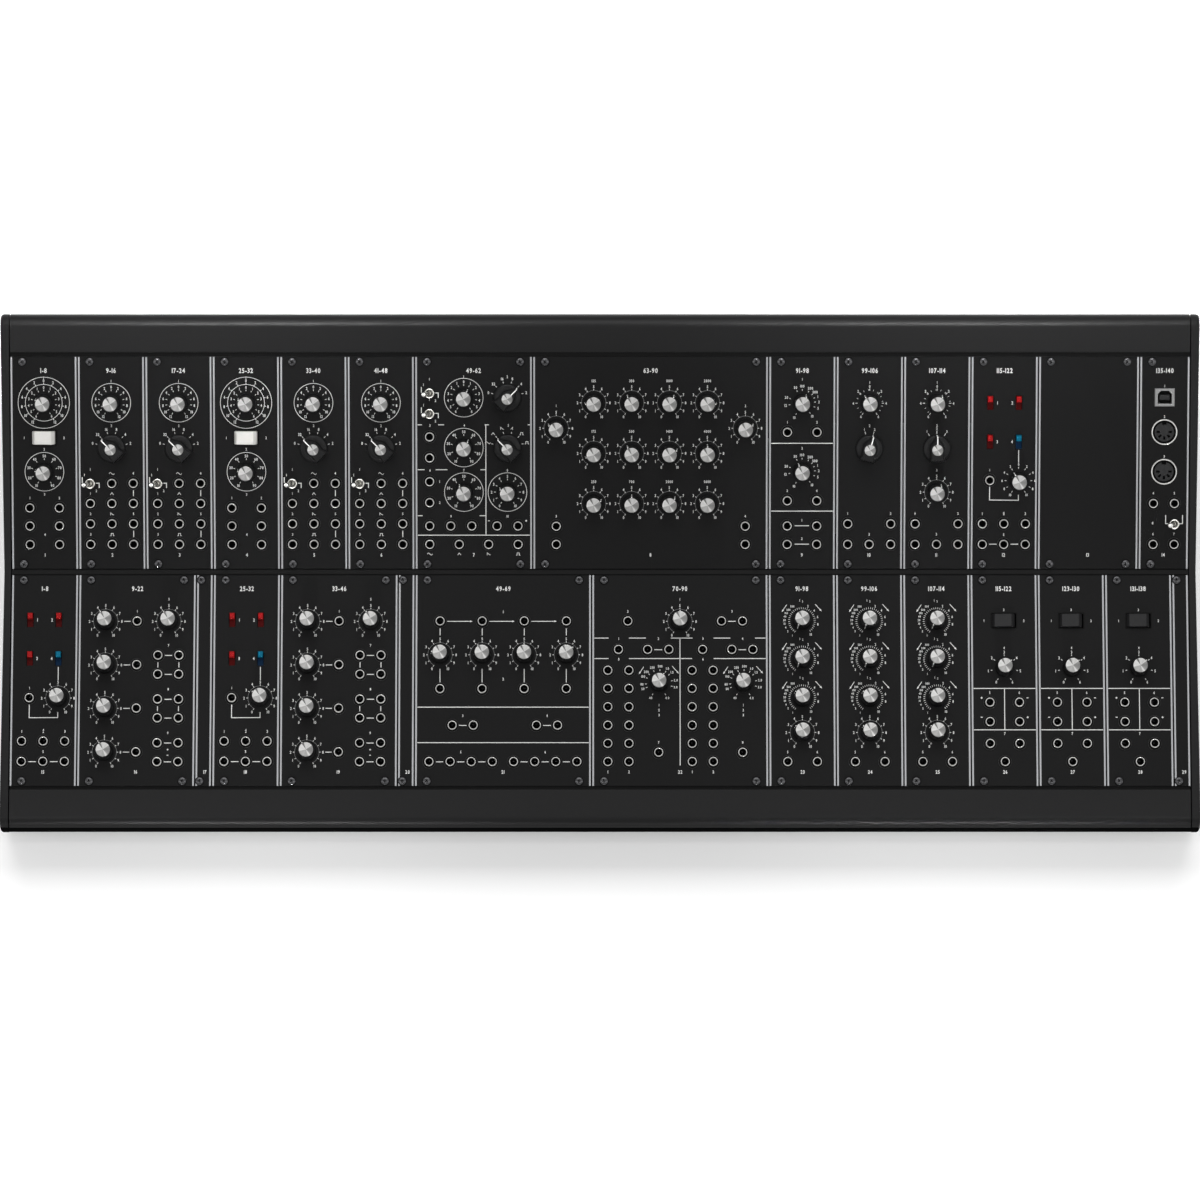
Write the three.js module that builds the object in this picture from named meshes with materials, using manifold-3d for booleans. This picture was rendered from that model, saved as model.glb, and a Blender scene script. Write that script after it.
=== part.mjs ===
// Desktop modular synthesizer: a folded console case with two rows of panel modules.
// Millimetres, +Z up, the player sits on the -Y side, X runs to the right.
// The origin is the centre of the footprint, on the surface that the feet stand on.
import * as THREE from 'three';
import { mergeVertices } from 'three/addons/utils/BufferGeometryUtils.js';
import loadManifold from 'manifold-3d';

const wasm = await loadManifold();
wasm.setup();

// Driving dimensions of the panel format
const unitWidth = 5.08;
const rowUnits = 140;
const panelHeight = 128.5;
const panelThickness = 2;
const panelSideGap = 0.3;
const seamWidth = 0.6;
const seamDepth = 1.2;

// Driving dimensions of the case
const lowerSlope = THREE.MathUtils.degToRad(9);
const upperSlope = THREE.MathUtils.degToRad(24.5);
const foldHeight = 70;
const rowGap = 3.8;
const frontTrimGap = 2.1;
const topTrimGap = 2.6;
const frontTrimDepth = 22.3;
const topTrimDepth = 27;
const cheekThickness = 5.4;
const cheekEdgeRadius = 2.2;
const trimWall = 2.5;
const trimNoseRadius = 7.5;
const trimBackRadius = 8;
const frontLipHeight = 13;
const backLipHeight = 22;
const sheetWall = 1.5;
const sheetInset = 3.8;
const sheetOverlap = 5;
const frontUndercut = 14;
const clearance = 0.3;
const overrun = 0.5;

// Feet under the tray
const footHeight = 4;
const footWidth = 14;
const footChamfer = 1;
const footEndInset = 40;
const footEdgeInset = 26;

// Rails with the strip that takes the panel screws
const railReach = 7;
const railDepth = 9;
const screwInset = 3;
const stripSlotWidth = 2.6;
const stripSlotDepth = 5;
const ridgeInset = 0.6;
const ridgeDrop = 1;

// Electronics carried behind each panel
const componentDepth = 11.6;
const componentSideInset = 2;
const railClearance = 9;

// Jack sockets
const jackBoreRadius = 1.95;
const jackBoreDepth = 11;

// Rotary knobs
const knobSkirtRadius = 5.6;
const knobTopRadius = 4.95;
const knobCapRadius = 4.33;
const knobBodyHeight = 11.8;
const knobCapHeight = 0.8;
const knobLift = 0.6;
const shaftRadius = 3;
const shaftDepth = 8;
const shaftHoleRadius = 3.75;
const shaftHoleDepth = 9;

// Selector knobs: a round skirt, a grip with a narrow nose and a flared tail, and a small cap
const selectorSkirtRadius = 8.4;
const selectorSkirtHeight = 2.5;
const selectorSkirtBevel = 1;
const selectorGripHeight = 11.4;
const selectorGripTopShare = 0.93;
const selectorCapRadius = 3.4;
const selectorCapHeight = 0.75;
const fixedSelectorShare = -0.6;

// Right half of the grip from its nose to its tail, as shares of the skirt's radius
const gripShares = [[0.07, 0.94], [0.2, 0.74], [0.45, 0.39], [0.55, 0], [0.49, -0.4], [0.59, -0.85],
  [0.3, -0.95]];

// How far pointers turn to either side of straight up
const knobHalfSwing = THREE.MathUtils.degToRad(150);
const selectorHalfSwing = THREE.MathUtils.degToRad(75);

// Toggle switches
const bushRadius = 2.95;
const bushHeight = 4;
const bushBoreRadius = 2.45;
const bushBoreDepth = 4;
const leverPivotHeight = 1;
const leverLength = 12;
const leverNeckRadius = 0.95;
const leverTipRadius = 1.55;
const leverBallRadius = 1.7;
const leverLean = THREE.MathUtils.degToRad(16);

// Slide switches
const slideWidth = 3.4;
const slideTabLength = 3.7;
const slideTabHeight = 2.8;
const slideSlotLength = 8.7;
const slidePlateThickness = 1.2;
const slidePocketDepth = 3;

// Rocker switches
const rockerLength = 13.8;
const rockerTopLength = 12.2;
const rockerWidth = 8;
const rockerHeight = 3;
const rockerBodyDepth = 2.4;
const rockerPivotDepth = 4;
const rockerPocketDepth = 6;
const rockerSwingGap = 0.7;
const rockerLean = THREE.MathUtils.degToRad(5);

// Sockets of the digital interface
const usbWidth = 12;
const usbHeight = 11;
const usbWall = 1.7;
const usbLift = 0.8;
const usbDepth = 9;
const usbTongueWidth = 5.6;
const usbTongueHeight = 3.2;
const dinRadius = 7.85;
const dinWell = 6.4;
const dinLift = 0.8;
const dinWellDepth = 3;
const dinPinRing = 3.75;
const dinPinRadius = 0.9;
const dinPinDepth = 6;
const dinKeyWidth = 2.4;

// Mains inlet with its switch, seen from behind
const inletCentreFromLeft = 86;
const inletHeight = 46;
const inletFlangeWidth = 50;
const inletFlangeHeight = 28;
const inletFlangeThickness = 1.5;
const inletBodyDepth = 24;
const inletBodyMargin = 3;
const inletWellWidth = 24;
const inletWellHeight = 16.5;
const inletWellDepth = 17;
const inletWellChamfer = 4.5;
const inletWellShift = -9;
const inletPinWidth = 2;
const inletPinHeight = 4;
const inletPinLength = 12;
const inletPinSpread = 7;
const inletPinDrop = 2;
const inletEarthRise = 3;
const switchShift = 14.5;
const switchLength = 19;
const switchTopLength = 17.6;
const switchWidth = 11;
const switchHeight = 1.2;
const switchBodyDepth = 3;
const switchPivotDepth = 6;
const switchPocketDepth = 10;

// Vent slots in the rear wall
const ventCount = 9;
const ventPitch = 12;
const ventWidth = 3.4;
const ventLength = 34;
const ventHeight = 44;
const ventGroupSpread = 200;
const ventGroupShares = [-0.5, 0.5];

// Power supply and distribution boards on the tray floor
const supplyWidth = 150;
const supplyDepth = 62;
const supplyHeight = 30;
const supplyLidWall = 1.2;
const supplyFinCount = 9;
const supplyFinWidth = 2;
const supplyFinDepth = 3;
const supplyRightGap = 100;
const supplyBackGap = 34;
const boardWidth = 34;
const boardRise = 7;
const boardThickness = 1.6;
const boardPostRadius = 2.6;
const boardEndInset = 30;
const boardHeaderCount = 8;
const headerWidth = 8;
const headerLength = 14;
const headerDepth = 9;
const upperBoardGap = 15;
const lowerBoardGap = 41;

// Facet counts
const roundSides = 10;
const skirtSides = 14;
const plainSides = 8;
const boreSides = 6;
const cornerSteps = 4;

const degrees = THREE.MathUtils.degToRad;
const rowWidth = unitWidth * rowUnits;
const innerHalfWidth = rowWidth / 2 + clearance;
const barHalfWidth = innerHalfWidth - clearance;
const outerHalfWidth = innerHalfWidth + cheekThickness;
const frontReach = rowGap / 2 + panelHeight + frontTrimGap + frontTrimDepth;
const topReach = rowGap / 2 + panelHeight + topTrimGap + topTrimDepth;
const frontY = -frontReach * Math.cos(lowerSlope);
const backY = topReach * Math.cos(upperSlope);
const foldY = -(frontY + backY) / 2;
const caseFrontY = foldY + frontY;
const caseBackY = foldY + backY;
const frontTopZ = foldHeight - frontReach * Math.sin(lowerSlope);
const backTopZ = foldHeight + topReach * Math.sin(upperSlope);
const frontLipZ = frontTopZ - frontLipHeight;
const backLipZ = backTopZ - backLipHeight;
const trayFrontY = caseFrontY + sheetInset;
const trayHemY = trayFrontY + frontUndercut;
const trayBackY = caseBackY - sheetInset;
const trayFloorZ = footHeight + sheetWall;

const finishes = {
  satinBlack: [0x2c2c2d, 0.45, 0.6],
  panelBlack: [0x232324, 0.55, 0.4],
  sheetBlack: [0x1f1f20, 0.6, 0.5],
  rubber: [0x151515, 0.9, 0],
  knobBlack: [0x161617, 0.35, 0],
  silver: [0xc9c7c4, 0.3, 1],
  white: [0xe9e8e2, 0.4, 0],
  red: [0xb92b2b, 0.4, 0],
  blue: [0x1784ad, 0.4, 0],
  socket: [0x18181a, 0.5, 0],
  circuitBoard: [0x17402a, 0.6, 0],
  supplyMetal: [0x9a9c9e, 0.4, 0.9],
};

function finish(name) {
  const [color, roughness, metalness] = finishes[name];
  return new THREE.MeshStandardMaterial({ color, roughness, metalness });
}

// Places in the cross-section: distance from the fold along a row's face, and height off that face
function onLower(along, off = 0) {
  const y = foldY - along * Math.cos(lowerSlope) - off * Math.sin(lowerSlope);
  const z = foldHeight - along * Math.sin(lowerSlope) + off * Math.cos(lowerSlope);
  return [y, z];
}

function onUpper(along, off = 0) {
  const y = foldY + along * Math.cos(upperSlope) - off * Math.sin(upperSlope);
  const z = foldHeight + along * Math.sin(upperSlope) + off * Math.cos(upperSlope);
  return [y, z];
}

// Closed outline in which a point [a, b, radius] becomes a rounded corner
function outline(points) {
  const rounded = [];
  points.forEach(([a, b, radius = 0], i) => {
    const corner = new THREE.Vector2(a, b);
    if (radius === 0) {
      rounded.push(corner);
      return;
    }
    const [beforeA, beforeB] = points[(i + points.length - 1) % points.length];
    const [afterA, afterB] = points[(i + 1) % points.length];
    const before = new THREE.Vector2(beforeA, beforeB).sub(corner).normalize();
    const after = new THREE.Vector2(afterA, afterB).sub(corner).normalize();
    const halfAngle = Math.acos(before.dot(after)) / 2;
    const towardCentre = before.clone().add(after).normalize();
    const centre = corner.clone().addScaledVector(towardCentre, radius / Math.sin(halfAngle));
    const start = corner.clone().addScaledVector(before, radius / Math.tan(halfAngle)).sub(centre);
    const end = corner.clone().addScaledVector(after, radius / Math.tan(halfAngle)).sub(centre);
    const turn = Math.atan2(start.cross(end), start.dot(end));
    for (let step = 0; step <= cornerSteps; step += 1) {
      rounded.push(start.clone().rotateAround(new THREE.Vector2(), (turn * step) / cornerSteps).add(centre));
    }
  });
  return rounded;
}

// A (y, z) outline drawn out along X
const sectionBasis = new THREE.Matrix4().makeBasis(
  new THREE.Vector3(0, 1, 0), new THREE.Vector3(0, 0, 1), new THREE.Vector3(1, 0, 0));

function drawnAlongX(points, startX, endX) {
  const shape = new THREE.Shape(outline(points));
  const geometry = new THREE.ExtrudeGeometry(shape, { depth: endX - startX, bevelEnabled: false });
  return geometry.applyMatrix4(sectionBasis).translate(startX, 0, 0);
}

// An (x, z) outline drawn out along Y, centred on the axis
function drawnAlongY(points, width) {
  const shape = new THREE.Shape(outline(points));
  const geometry = new THREE.ExtrudeGeometry(shape, { depth: width, bevelEnabled: false });
  return geometry.rotateX(Math.PI / 2).translate(0, width / 2, 0);
}

function block(minX, maxX, minY, maxY, minZ, maxZ) {
  const geometry = new THREE.BoxGeometry(maxX - minX, maxY - minY, maxZ - minZ);
  return geometry.translate((minX + maxX) / 2, (minY + maxY) / 2, (minZ + maxZ) / 2);
}

function post(x, y, minZ, maxZ, radius, sides) {
  const geometry = new THREE.CylinderGeometry(radius, radius, maxZ - minZ, sides);
  return geometry.rotateX(Math.PI / 2).translate(x, y, (minZ + maxZ) / 2);
}

// A [radius, height] profile turned about Z, from the bottom of the axis to its top
function turned(profile, sides) {
  const points = [[0, profile[0][1]], ...profile, [0, profile[profile.length - 1][1]]];
  const geometry = new THREE.LatheGeometry(points.map(([r, z]) => new THREE.Vector2(r, z)), sides);
  return geometry.rotateX(Math.PI / 2);
}

function solidOf(geometry) {
  const bare = geometry.clone();
  bare.deleteAttribute('normal');
  bare.deleteAttribute('uv');
  const merged = mergeVertices(bare);
  return new wasm.Manifold(new wasm.Mesh({
    numProp: 3,
    vertProperties: new Float32Array(merged.attributes.position.array),
    triVerts: new Uint32Array(merged.index.array),
  }));
}

function geometryOf(solid) {
  const mesh = solid.getMesh();
  const geometry = new THREE.BufferGeometry();
  geometry.setAttribute('position', new THREE.BufferAttribute(mesh.vertProperties, mesh.numProp));
  geometry.setIndex(new THREE.BufferAttribute(mesh.triVerts, 1));
  geometry.computeVertexNormals();
  return geometry;
}

function joined(pieces) {
  return pieces.map(solidOf).reduce((whole, piece) => whole.add(piece));
}

function cutBy(solid, cutters) {
  return cutters.length === 0 ? solid : solid.subtract(joined(cutters));
}

function named(name, geometry, finishName) {
  const mesh = new THREE.Mesh(geometry, finish(finishName));
  mesh.name = name;
  return mesh;
}

// Controls, each in its own frame: +Z out of the panel, +Y towards the panel's top edge
function knobProfile(bottom) {
  return [
    [knobSkirtRadius, bottom],
    [knobTopRadius, knobBodyHeight],
    [knobCapRadius, knobBodyHeight],
    [knobCapRadius, knobBodyHeight + knobCapHeight],
  ];
}

function looseKnob() {
  const shaft = [[shaftRadius, -shaftDepth], [shaftRadius, knobLift]];
  return turned([...shaft, ...knobProfile(knobLift)], roundSides);
}

function fixedKnob() {
  return turned([[knobSkirtRadius, -overrun], [knobTopRadius, knobBodyHeight]], plainSides);
}

// The nose of the grip faces +Y
function selectorGrip() {
  const bottom = selectorSkirtHeight - overrun;
  const reach = selectorSkirtRadius;
  const right = gripShares.map(([across, along]) => new THREE.Vector2(across * reach, along * reach));
  const left = right.map(({ x, y }) => new THREE.Vector2(-x, y)).reverse();
  const grip = new THREE.ExtrudeGeometry(new THREE.Shape([...right, ...left]), {
    depth: selectorGripHeight - bottom,
    bevelEnabled: false,
  }).translate(0, 0, bottom);
  const places = grip.attributes.position;
  for (let i = 0; i < places.count; i += 1) {
    if (places.getZ(i) > selectorSkirtHeight) {
      places.setX(i, places.getX(i) * selectorGripTopShare);
      places.setY(i, places.getY(i) * selectorGripTopShare);
    }
  }
  return grip;
}

function selectorSkirt(bottom) {
  return [
    [selectorSkirtRadius, bottom],
    [selectorSkirtRadius, selectorSkirtHeight - selectorSkirtBevel],
    [selectorSkirtRadius - selectorSkirtBevel, selectorSkirtHeight],
  ];
}

function looseSelector() {
  const shaft = [[shaftRadius, -shaftDepth], [shaftRadius, knobLift]];
  return geometryOf(joined([
    turned([...shaft, ...selectorSkirt(knobLift)], skirtSides),
    selectorGrip(),
    post(0, 0, selectorGripHeight - overrun, selectorGripHeight + selectorCapHeight, selectorCapRadius,
      roundSides),
  ]));
}

function fixedSelector() {
  return [
    turned(selectorSkirt(-overrun), skirtSides),
    selectorGrip().rotateZ(-fixedSelectorShare * selectorHalfSwing),
  ];
}

// The lever's frame has its origin at the pivot ball
function looseLever() {
  return turned([
    [leverNeckRadius, -leverBallRadius],
    [leverBallRadius, -leverBallRadius / 2],
    [leverBallRadius, leverBallRadius / 2],
    [leverNeckRadius, leverBallRadius],
    [leverTipRadius, leverLength - leverTipRadius],
    [leverTipRadius / 2, leverLength],
  ], plainSides);
}

function fixedLever() {
  const stick = turned([[leverNeckRadius, 0], [leverTipRadius, leverLength]], boreSides);
  return stick.rotateY(-leverLean).translate(0, 0, leverPivotHeight);
}

// The slider's frame has its origin at the centre of the slot on the panel face, tab thrown up
const slideTravel = slideSlotLength - slideTabLength - 2 * clearance;
const slidePlateLength = slideSlotLength + slideTravel;

function slideTab(bottom) {
  const topY = slideSlotLength / 2 - clearance;
  return block(-slideWidth / 2, slideWidth / 2, topY - slideTabLength, topY, bottom, slideTabHeight);
}

function looseSlider() {
  const plateTopZ = -panelThickness - clearance;
  const plateMinY = -slideSlotLength / 2;
  const plate = block(-slideWidth / 2, slideWidth / 2, plateMinY, plateMinY + slidePlateLength,
    plateTopZ - slidePlateThickness, plateTopZ);
  return geometryOf(joined([plate, slideTab(plateTopZ - slidePlateThickness / 2)]));
}

// The rocker's frame has its origin at its pivot under the panel
function rockerBody(length, topLength, height, bodyDepth, pivotDepth, width) {
  return drawnAlongY([
    [-length / 2, pivotDepth - bodyDepth],
    [length / 2, pivotDepth - bodyDepth],
    [length / 2, pivotDepth],
    [topLength / 2, pivotDepth + height],
    [-topLength / 2, pivotDepth + height],
    [-length / 2, pivotDepth],
  ], width);
}

function panelRocker() {
  return rockerBody(rockerLength, rockerTopLength, rockerHeight, rockerBodyDepth, rockerPivotDepth,
    rockerWidth);
}

// One entry per kind of control: what is fused when it is fixed, what is cut and carried when loose
const controlKinds = {
  knobs: {
    fixed: () => [fixedKnob()],
    cuts: () => [post(0, 0, -shaftHoleDepth, overrun, shaftHoleRadius, plainSides)],
    make: looseKnob,
    halfSwing: knobHalfSwing,
    pivotZ: 0,
  },
  selectors: {
    fixed: fixedSelector,
    cuts: () => [post(0, 0, -shaftHoleDepth, overrun, shaftHoleRadius, plainSides)],
    make: looseSelector,
    halfSwing: selectorHalfSwing,
    pivotZ: 0,
  },
  toggles: {
    collar: () => [post(0, 0, -overrun, bushHeight, bushRadius, plainSides)],
    fixed: () => [fixedLever()],
    cuts: () => [post(0, 0, -bushBoreDepth, bushHeight + overrun, bushBoreRadius, plainSides)],
    make: looseLever,
    pivotZ: leverPivotHeight,
    rest: { y: -leverLean },
  },
  slides: {
    fixed: () => [slideTab(-overrun)],
    cuts: () => {
      const halfSlot = slideSlotLength / 2;
      const halfWidth = slideWidth / 2 + clearance;
      const pocketTopY = slidePlateLength - halfSlot + clearance;
      return [
        block(-halfWidth, halfWidth, -halfSlot, halfSlot, -panelThickness - overrun, overrun),
        block(-halfWidth, halfWidth, -halfSlot - slideTravel - clearance, pocketTopY,
          -panelThickness - slidePocketDepth, -panelThickness),
      ];
    },
    make: looseSlider,
    pivotZ: 0,
  },
  rockers: {
    fixed: () => [panelRocker().rotateY(-rockerLean).translate(0, 0, -rockerPivotDepth)],
    cuts: () => {
      const halfLength = rockerLength / 2 + rockerSwingGap;
      const halfWidth = rockerWidth / 2 + clearance;
      return [block(-halfLength, halfLength, -halfWidth, halfWidth, -rockerPocketDepth, overrun)];
    },
    make: panelRocker,
    pivotZ: -rockerPivotDepth,
    rest: { y: -rockerLean },
  },
};

// Places on a panel are shares of its width and of its height, measured from its top left corner
function grid(columnShares, rowShares) {
  return rowShares.flatMap((row) => columnShares.map((column) => [column, row]));
}

const pairShares = [0.281, 0.719];
const tripleShares = [0.181, 0.5, 0.819];
const outerShares = [0.181, 0.819];

const panelKinds = {
  driver: {
    units: 8,
    knobShares: [[0.5, 0.216], [0.5, 0.541]],
    rockerShares: [[0.5, 0.381]],
    jackShares: grid(pairShares, [0.711, 0.796, 0.884]),
  },
  oscillator: {
    units: 8,
    knobShares: [[0.5, 0.216]],
    selectorShares: [[0.5, 0.43]],
    toggleShares: [[0.181, 0.595]],
    jackShares: [[0.5, 0.595], [0.819, 0.595], ...grid(tripleShares, [0.69, 0.786, 0.883])],
  },
  voltageOscillator: {
    units: 14,
    knobShares: [[0.416, 0.192], [0.416, 0.427], [0.416, 0.637], [0.786, 0.637]],
    selectorShares: [[0.786, 0.192], [0.786, 0.429]],
    toggleShares: [[0.126, 0.17], [0.126, 0.266]],
    jackShares: [
      ...grid([0.126], [0.376, 0.475, 0.587, 0.686]),
      ...grid([0.126, 0.304, 0.483, 0.697, 0.875], [0.796]),
      ...grid([0.126, 0.376, 0.626, 0.876], [0.883]),
    ],
  },
  filterBank: {
    units: 28,
    knobShares: [
      [0.1, 0.336],
      ...grid([0.259, 0.42, 0.58, 0.741], [0.216, 0.454, 0.691]),
      [0.902, 0.336],
    ],
    jackShares: grid([0.1, 0.902], [0.797, 0.883]),
  },
  noiseFilters: {
    units: 8,
    knobShares: [[0.5, 0.216], [0.5, 0.54]],
    jackShares: grid(pairShares, [0.354, 0.677, 0.796, 0.883]),
  },
  highPass: {
    units: 8,
    knobShares: [[0.5, 0.216]],
    selectorShares: [[0.5, 0.432]],
    jackShares: [...grid(outerShares, [0.786]), ...grid(tripleShares, [0.883])],
  },
  lowPass: {
    units: 8,
    knobShares: [[0.5, 0.216], [0.5, 0.637]],
    selectorShares: [[0.5, 0.432]],
    jackShares: [...grid(outerShares, [0.786]), ...grid(tripleShares, [0.883])],
  },
  controlVoltages: {
    units: 8,
    knobShares: [[0.715, 0.583]],
    slideShares: grid([0.29, 0.715], [0.216, 0.399]),
    jackShares: [[0.287, 0.581], ...grid(tripleShares, [0.786, 0.883])],
  },
  blank: { units: 12 },
  digitalInterface: {
    units: 6,
    toggleShares: [[0.708, 0.786]],
    jackShares: grid([0.292, 0.708], [0.69, 0.883]),
    usbShares: [[0.5, 0.191]],
    dinShares: [[0.5, 0.354], [0.5, 0.541]],
  },
  controller: {
    units: 8,
    knobShares: [[0.71, 0.584]],
    slideShares: grid([0.287, 0.71], [0.213, 0.396]),
    jackShares: [[0.287, 0.584], ...grid(tripleShares, [0.789, 0.885])],
  },
  mixer: {
    units: 14,
    knobShares: [...grid([0.232], [0.22, 0.427, 0.633, 0.84]), [0.768, 0.22]],
    jackShares: [
      ...grid([0.5], [0.22, 0.427, 0.633, 0.84]),
      ...grid([0.679, 0.857], [0.382, 0.472, 0.59, 0.679, 0.797, 0.886]),
    ],
  },
  filler: { units: 2 },
  attenuators: {
    units: 21,
    knobShares: grid([0.143, 0.381, 0.619, 0.857], [0.379]),
    jackShares: [
      ...grid([0.143, 0.381, 0.619, 0.857], [0.22, 0.541]),
      ...grid([0.213, 0.332, 0.689, 0.808], [0.714]),
      ...grid([0.083, 0.202, 0.321, 0.44, 0.56, 0.679, 0.798, 0.917], [0.886]),
    ],
  },
  triggerInterface: {
    units: 21,
    knobShares: [[0.5, 0.22], [0.381, 0.513], [0.857, 0.513]],
    jackShares: [
      ...grid([0.205, 0.735, 0.854], [0.22]),
      ...grid([0.152, 0.317, 0.437, 0.628, 0.793, 0.912], [0.355]),
      ...grid([0.092, 0.211, 0.568, 0.687], [0.454, 0.54, 0.627, 0.714, 0.8, 0.886]),
      ...grid([0.379, 0.853], [0.842]),
    ],
  },
  envelope: {
    units: 8,
    knobShares: grid([0.5], [0.218, 0.4, 0.584, 0.747]),
    jackShares: grid(pairShares, [0.886]),
  },
  amplifier: {
    units: 8,
    knobShares: [[0.5, 0.442]],
    rockerShares: [[0.5, 0.217]],
    jackShares: [...grid(pairShares, [0.605, 0.697, 0.8]), [0.5, 0.886]],
  },
};

// A control that moves by itself: its name, its finish, and where its pointer stands, clockwise from up,
// as a share of half its swing
function loose(name, pointerShare = 0, finishName = 'knobBlack') {
  return { name, pointerShare, finishName };
}

// Banks of neighbouring panels from the left, each listing the controls that move on its own panels
const upperBanks = [
  {
    name: 'oscillator_bank_1',
    panels: ['driver', 'oscillator', 'oscillator'],
    knobs: [loose('driver_frequency_knob', -0.4), loose('driver_width_knob', -0.5),
      loose('oscillator_frequency_knob', -0.7)],
    rockers: [loose('driver_range_rocker', 0, 'white')],
    selectors: [loose('oscillator_range_selector', -0.6)],
    toggles: [loose('oscillator_sync_toggle', 0, 'silver')],
  },
  { name: 'oscillator_bank_2', panels: ['driver', 'oscillator', 'oscillator'] },
  {
    name: 'voltage_oscillator',
    panels: ['voltageOscillator'],
    knobs: [loose('voltage_oscillator_knob', 0.167)],
    selectors: [loose('voltage_range_selector', 0.6), loose('waveform_selector', -0.6)],
    toggles: [loose('voltage_scale_toggle', 0, 'silver')],
  },
  {
    name: 'fixed_filter_bank',
    panels: ['filterBank'],
    knobs: [loose('bank_low_pass_knob', -0.4), loose('bank_band_knob', -0.6)],
  },
  {
    name: 'filter_bank',
    panels: ['noiseFilters', 'highPass', 'lowPass'],
    knobs: [loose('noise_filter_knob', 0.167), null, loose('high_pass_knob', -0.233),
      loose('low_pass_knob', 0.233), loose('regeneration_knob', 0.2)],
    selectors: [loose('high_pass_selector', 0.2), loose('low_pass_selector', 0)],
  },
  {
    name: 'control_voltages',
    panels: ['controlVoltages'],
    knobs: [loose('control_level_knob', -0.2)],
    slides: [loose('control_slide_switch', 0, 'red')],
  },
  { name: 'blank_panel', panels: ['blank'] },
  {
    name: 'digital_interface',
    panels: ['digitalInterface'],
    toggles: [loose('interface_toggle', 0, 'silver')],
  },
];

const lowerBanks = [
  {
    name: 'mixer_bank_1',
    panels: ['controller', 'mixer', 'filler'],
    knobs: [null, loose('mixer_channel_knob', -0.2), null, null, null, loose('mixer_master_knob', -0.2)],
    slides: [null, null, null, loose('controller_slide_switch', 0, 'blue')],
  },
  { name: 'mixer_bank_2', panels: ['controller', 'mixer', 'filler'] },
  { name: 'attenuator_bank', panels: ['attenuators'], knobs: [loose('attenuator_knob', -0.567)] },
  {
    name: 'trigger_interface',
    panels: ['triggerInterface'],
    knobs: [loose('sensitivity_knob', 0), loose('delay_time_knob', 0.233)],
  },
  {
    name: 'envelope_bank',
    panels: ['envelope', 'envelope', 'envelope'],
    knobs: [loose('attack_knob', -1), loose('decay_knob', -1), loose('release_knob', -0.4),
      loose('sustain_knob', -0.4)],
  },
  {
    name: 'amplifier_bank',
    panels: ['amplifier', 'amplifier', 'amplifier', 'filler'],
    knobs: [loose('amplifier_gain_knob', 0.333)],
    rockers: [loose('amplifier_mode_rocker', 0)],
  },
];

// Socket and switch bodies with their circuit board behind one panel, fused to its back
function electronics(leftX, width) {
  return block(leftX + componentSideInset, leftX + width - componentSideInset, railClearance,
    panelHeight - railClearance, -panelThickness - componentDepth, -panelThickness + overrun);
}

function usbSocket(x, y) {
  const shellX = usbWidth / 2;
  const shellY = usbHeight / 2;
  const wellX = shellX - usbWall;
  const wellY = shellY - usbWall;
  return {
    add: [block(x - shellX, x + shellX, y - shellY, y + shellY, -overrun, usbLift)],
    cut: [block(x - wellX, x + wellX, y - wellY, y + wellY, -usbDepth, usbLift + overrun)],
    refill: [block(x - usbTongueWidth / 2, x + usbTongueWidth / 2, y - usbTongueHeight / 2,
      y + usbTongueHeight / 2, -usbDepth - overrun, 0)],
  };
}

function dinSocket(x, y) {
  const pinShares = [-1, -0.5, 0, 0.5, 1];
  const pins = pinShares.map((share) => {
    const angle = -Math.PI / 2 + (share * Math.PI) / 2;
    return post(x + dinPinRing * Math.cos(angle), y + dinPinRing * Math.sin(angle),
      -dinWellDepth - dinPinDepth, -dinWellDepth + overrun, dinPinRadius, boreSides);
  });
  return {
    add: [post(x, y, -overrun, dinLift, dinRadius, roundSides)],
    cut: [
      post(x, y, -dinWellDepth, dinLift + overrun, dinWell, roundSides),
      block(x - dinKeyWidth / 2, x + dinKeyWidth / 2, y, y + (dinWell + dinRadius) / 2, -dinWellDepth,
        dinLift + overrun),
      ...pins,
    ],
    refill: [],
  };
}

function widthOf(panels) {
  return panels.reduce((sum, kindName) => sum + panelKinds[kindName].units, 0) * unitWidth;
}

// The solids of a bank: added ones first, then cut ones, then the ones that fill in again
function addSockets(solids, kind, panelX, placeOf) {
  if (kind.jackShares) {
    solids.added.push(electronics(panelX, kind.units * unitWidth));
  }
  (kind.jackShares ?? []).map(placeOf).forEach(([x, y]) => {
    solids.cuts.push(post(x, y, -jackBoreDepth, overrun, jackBoreRadius, boreSides));
  });
  const sockets = [
    ...(kind.usbShares ?? []).map(placeOf).map(([x, y]) => usbSocket(x, y)),
    ...(kind.dinShares ?? []).map(placeOf).map(([x, y]) => dinSocket(x, y)),
  ];
  sockets.forEach((socket) => {
    solids.added.push(...socket.add);
    solids.cuts.push(...socket.cut);
    solids.refills.push(...socket.refill);
  });
}

// A control that has an entry waiting becomes a mesh of its own, and the others join the bank
function addControls(solids, kind, waiting, placeOf, group) {
  Object.entries(controlKinds).forEach(([plural, control]) => {
    const places = kind[`${plural.slice(0, -1)}Shares`] ?? [];
    places.map(placeOf).forEach(([x, y]) => {
      const moving = waiting[plural].shift();
      const moved = (geometry) => geometry.translate(x, y, 0);
      solids.added.push(...(control.collar?.() ?? []).map(moved));
      if (!moving) {
        solids.refills.push(...control.fixed().map(moved));
        return;
      }
      solids.cuts.push(...control.cuts().map(moved));
      const mesh = named(moving.name, control.make(), moving.finishName);
      mesh.position.set(x, y, control.pivotZ);
      mesh.rotation.y = control.rest?.y ?? 0;
      mesh.rotation.z = -moving.pointerShare * (control.halfSwing ?? 0);
      group.add(mesh);
    });
  });
}

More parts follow.
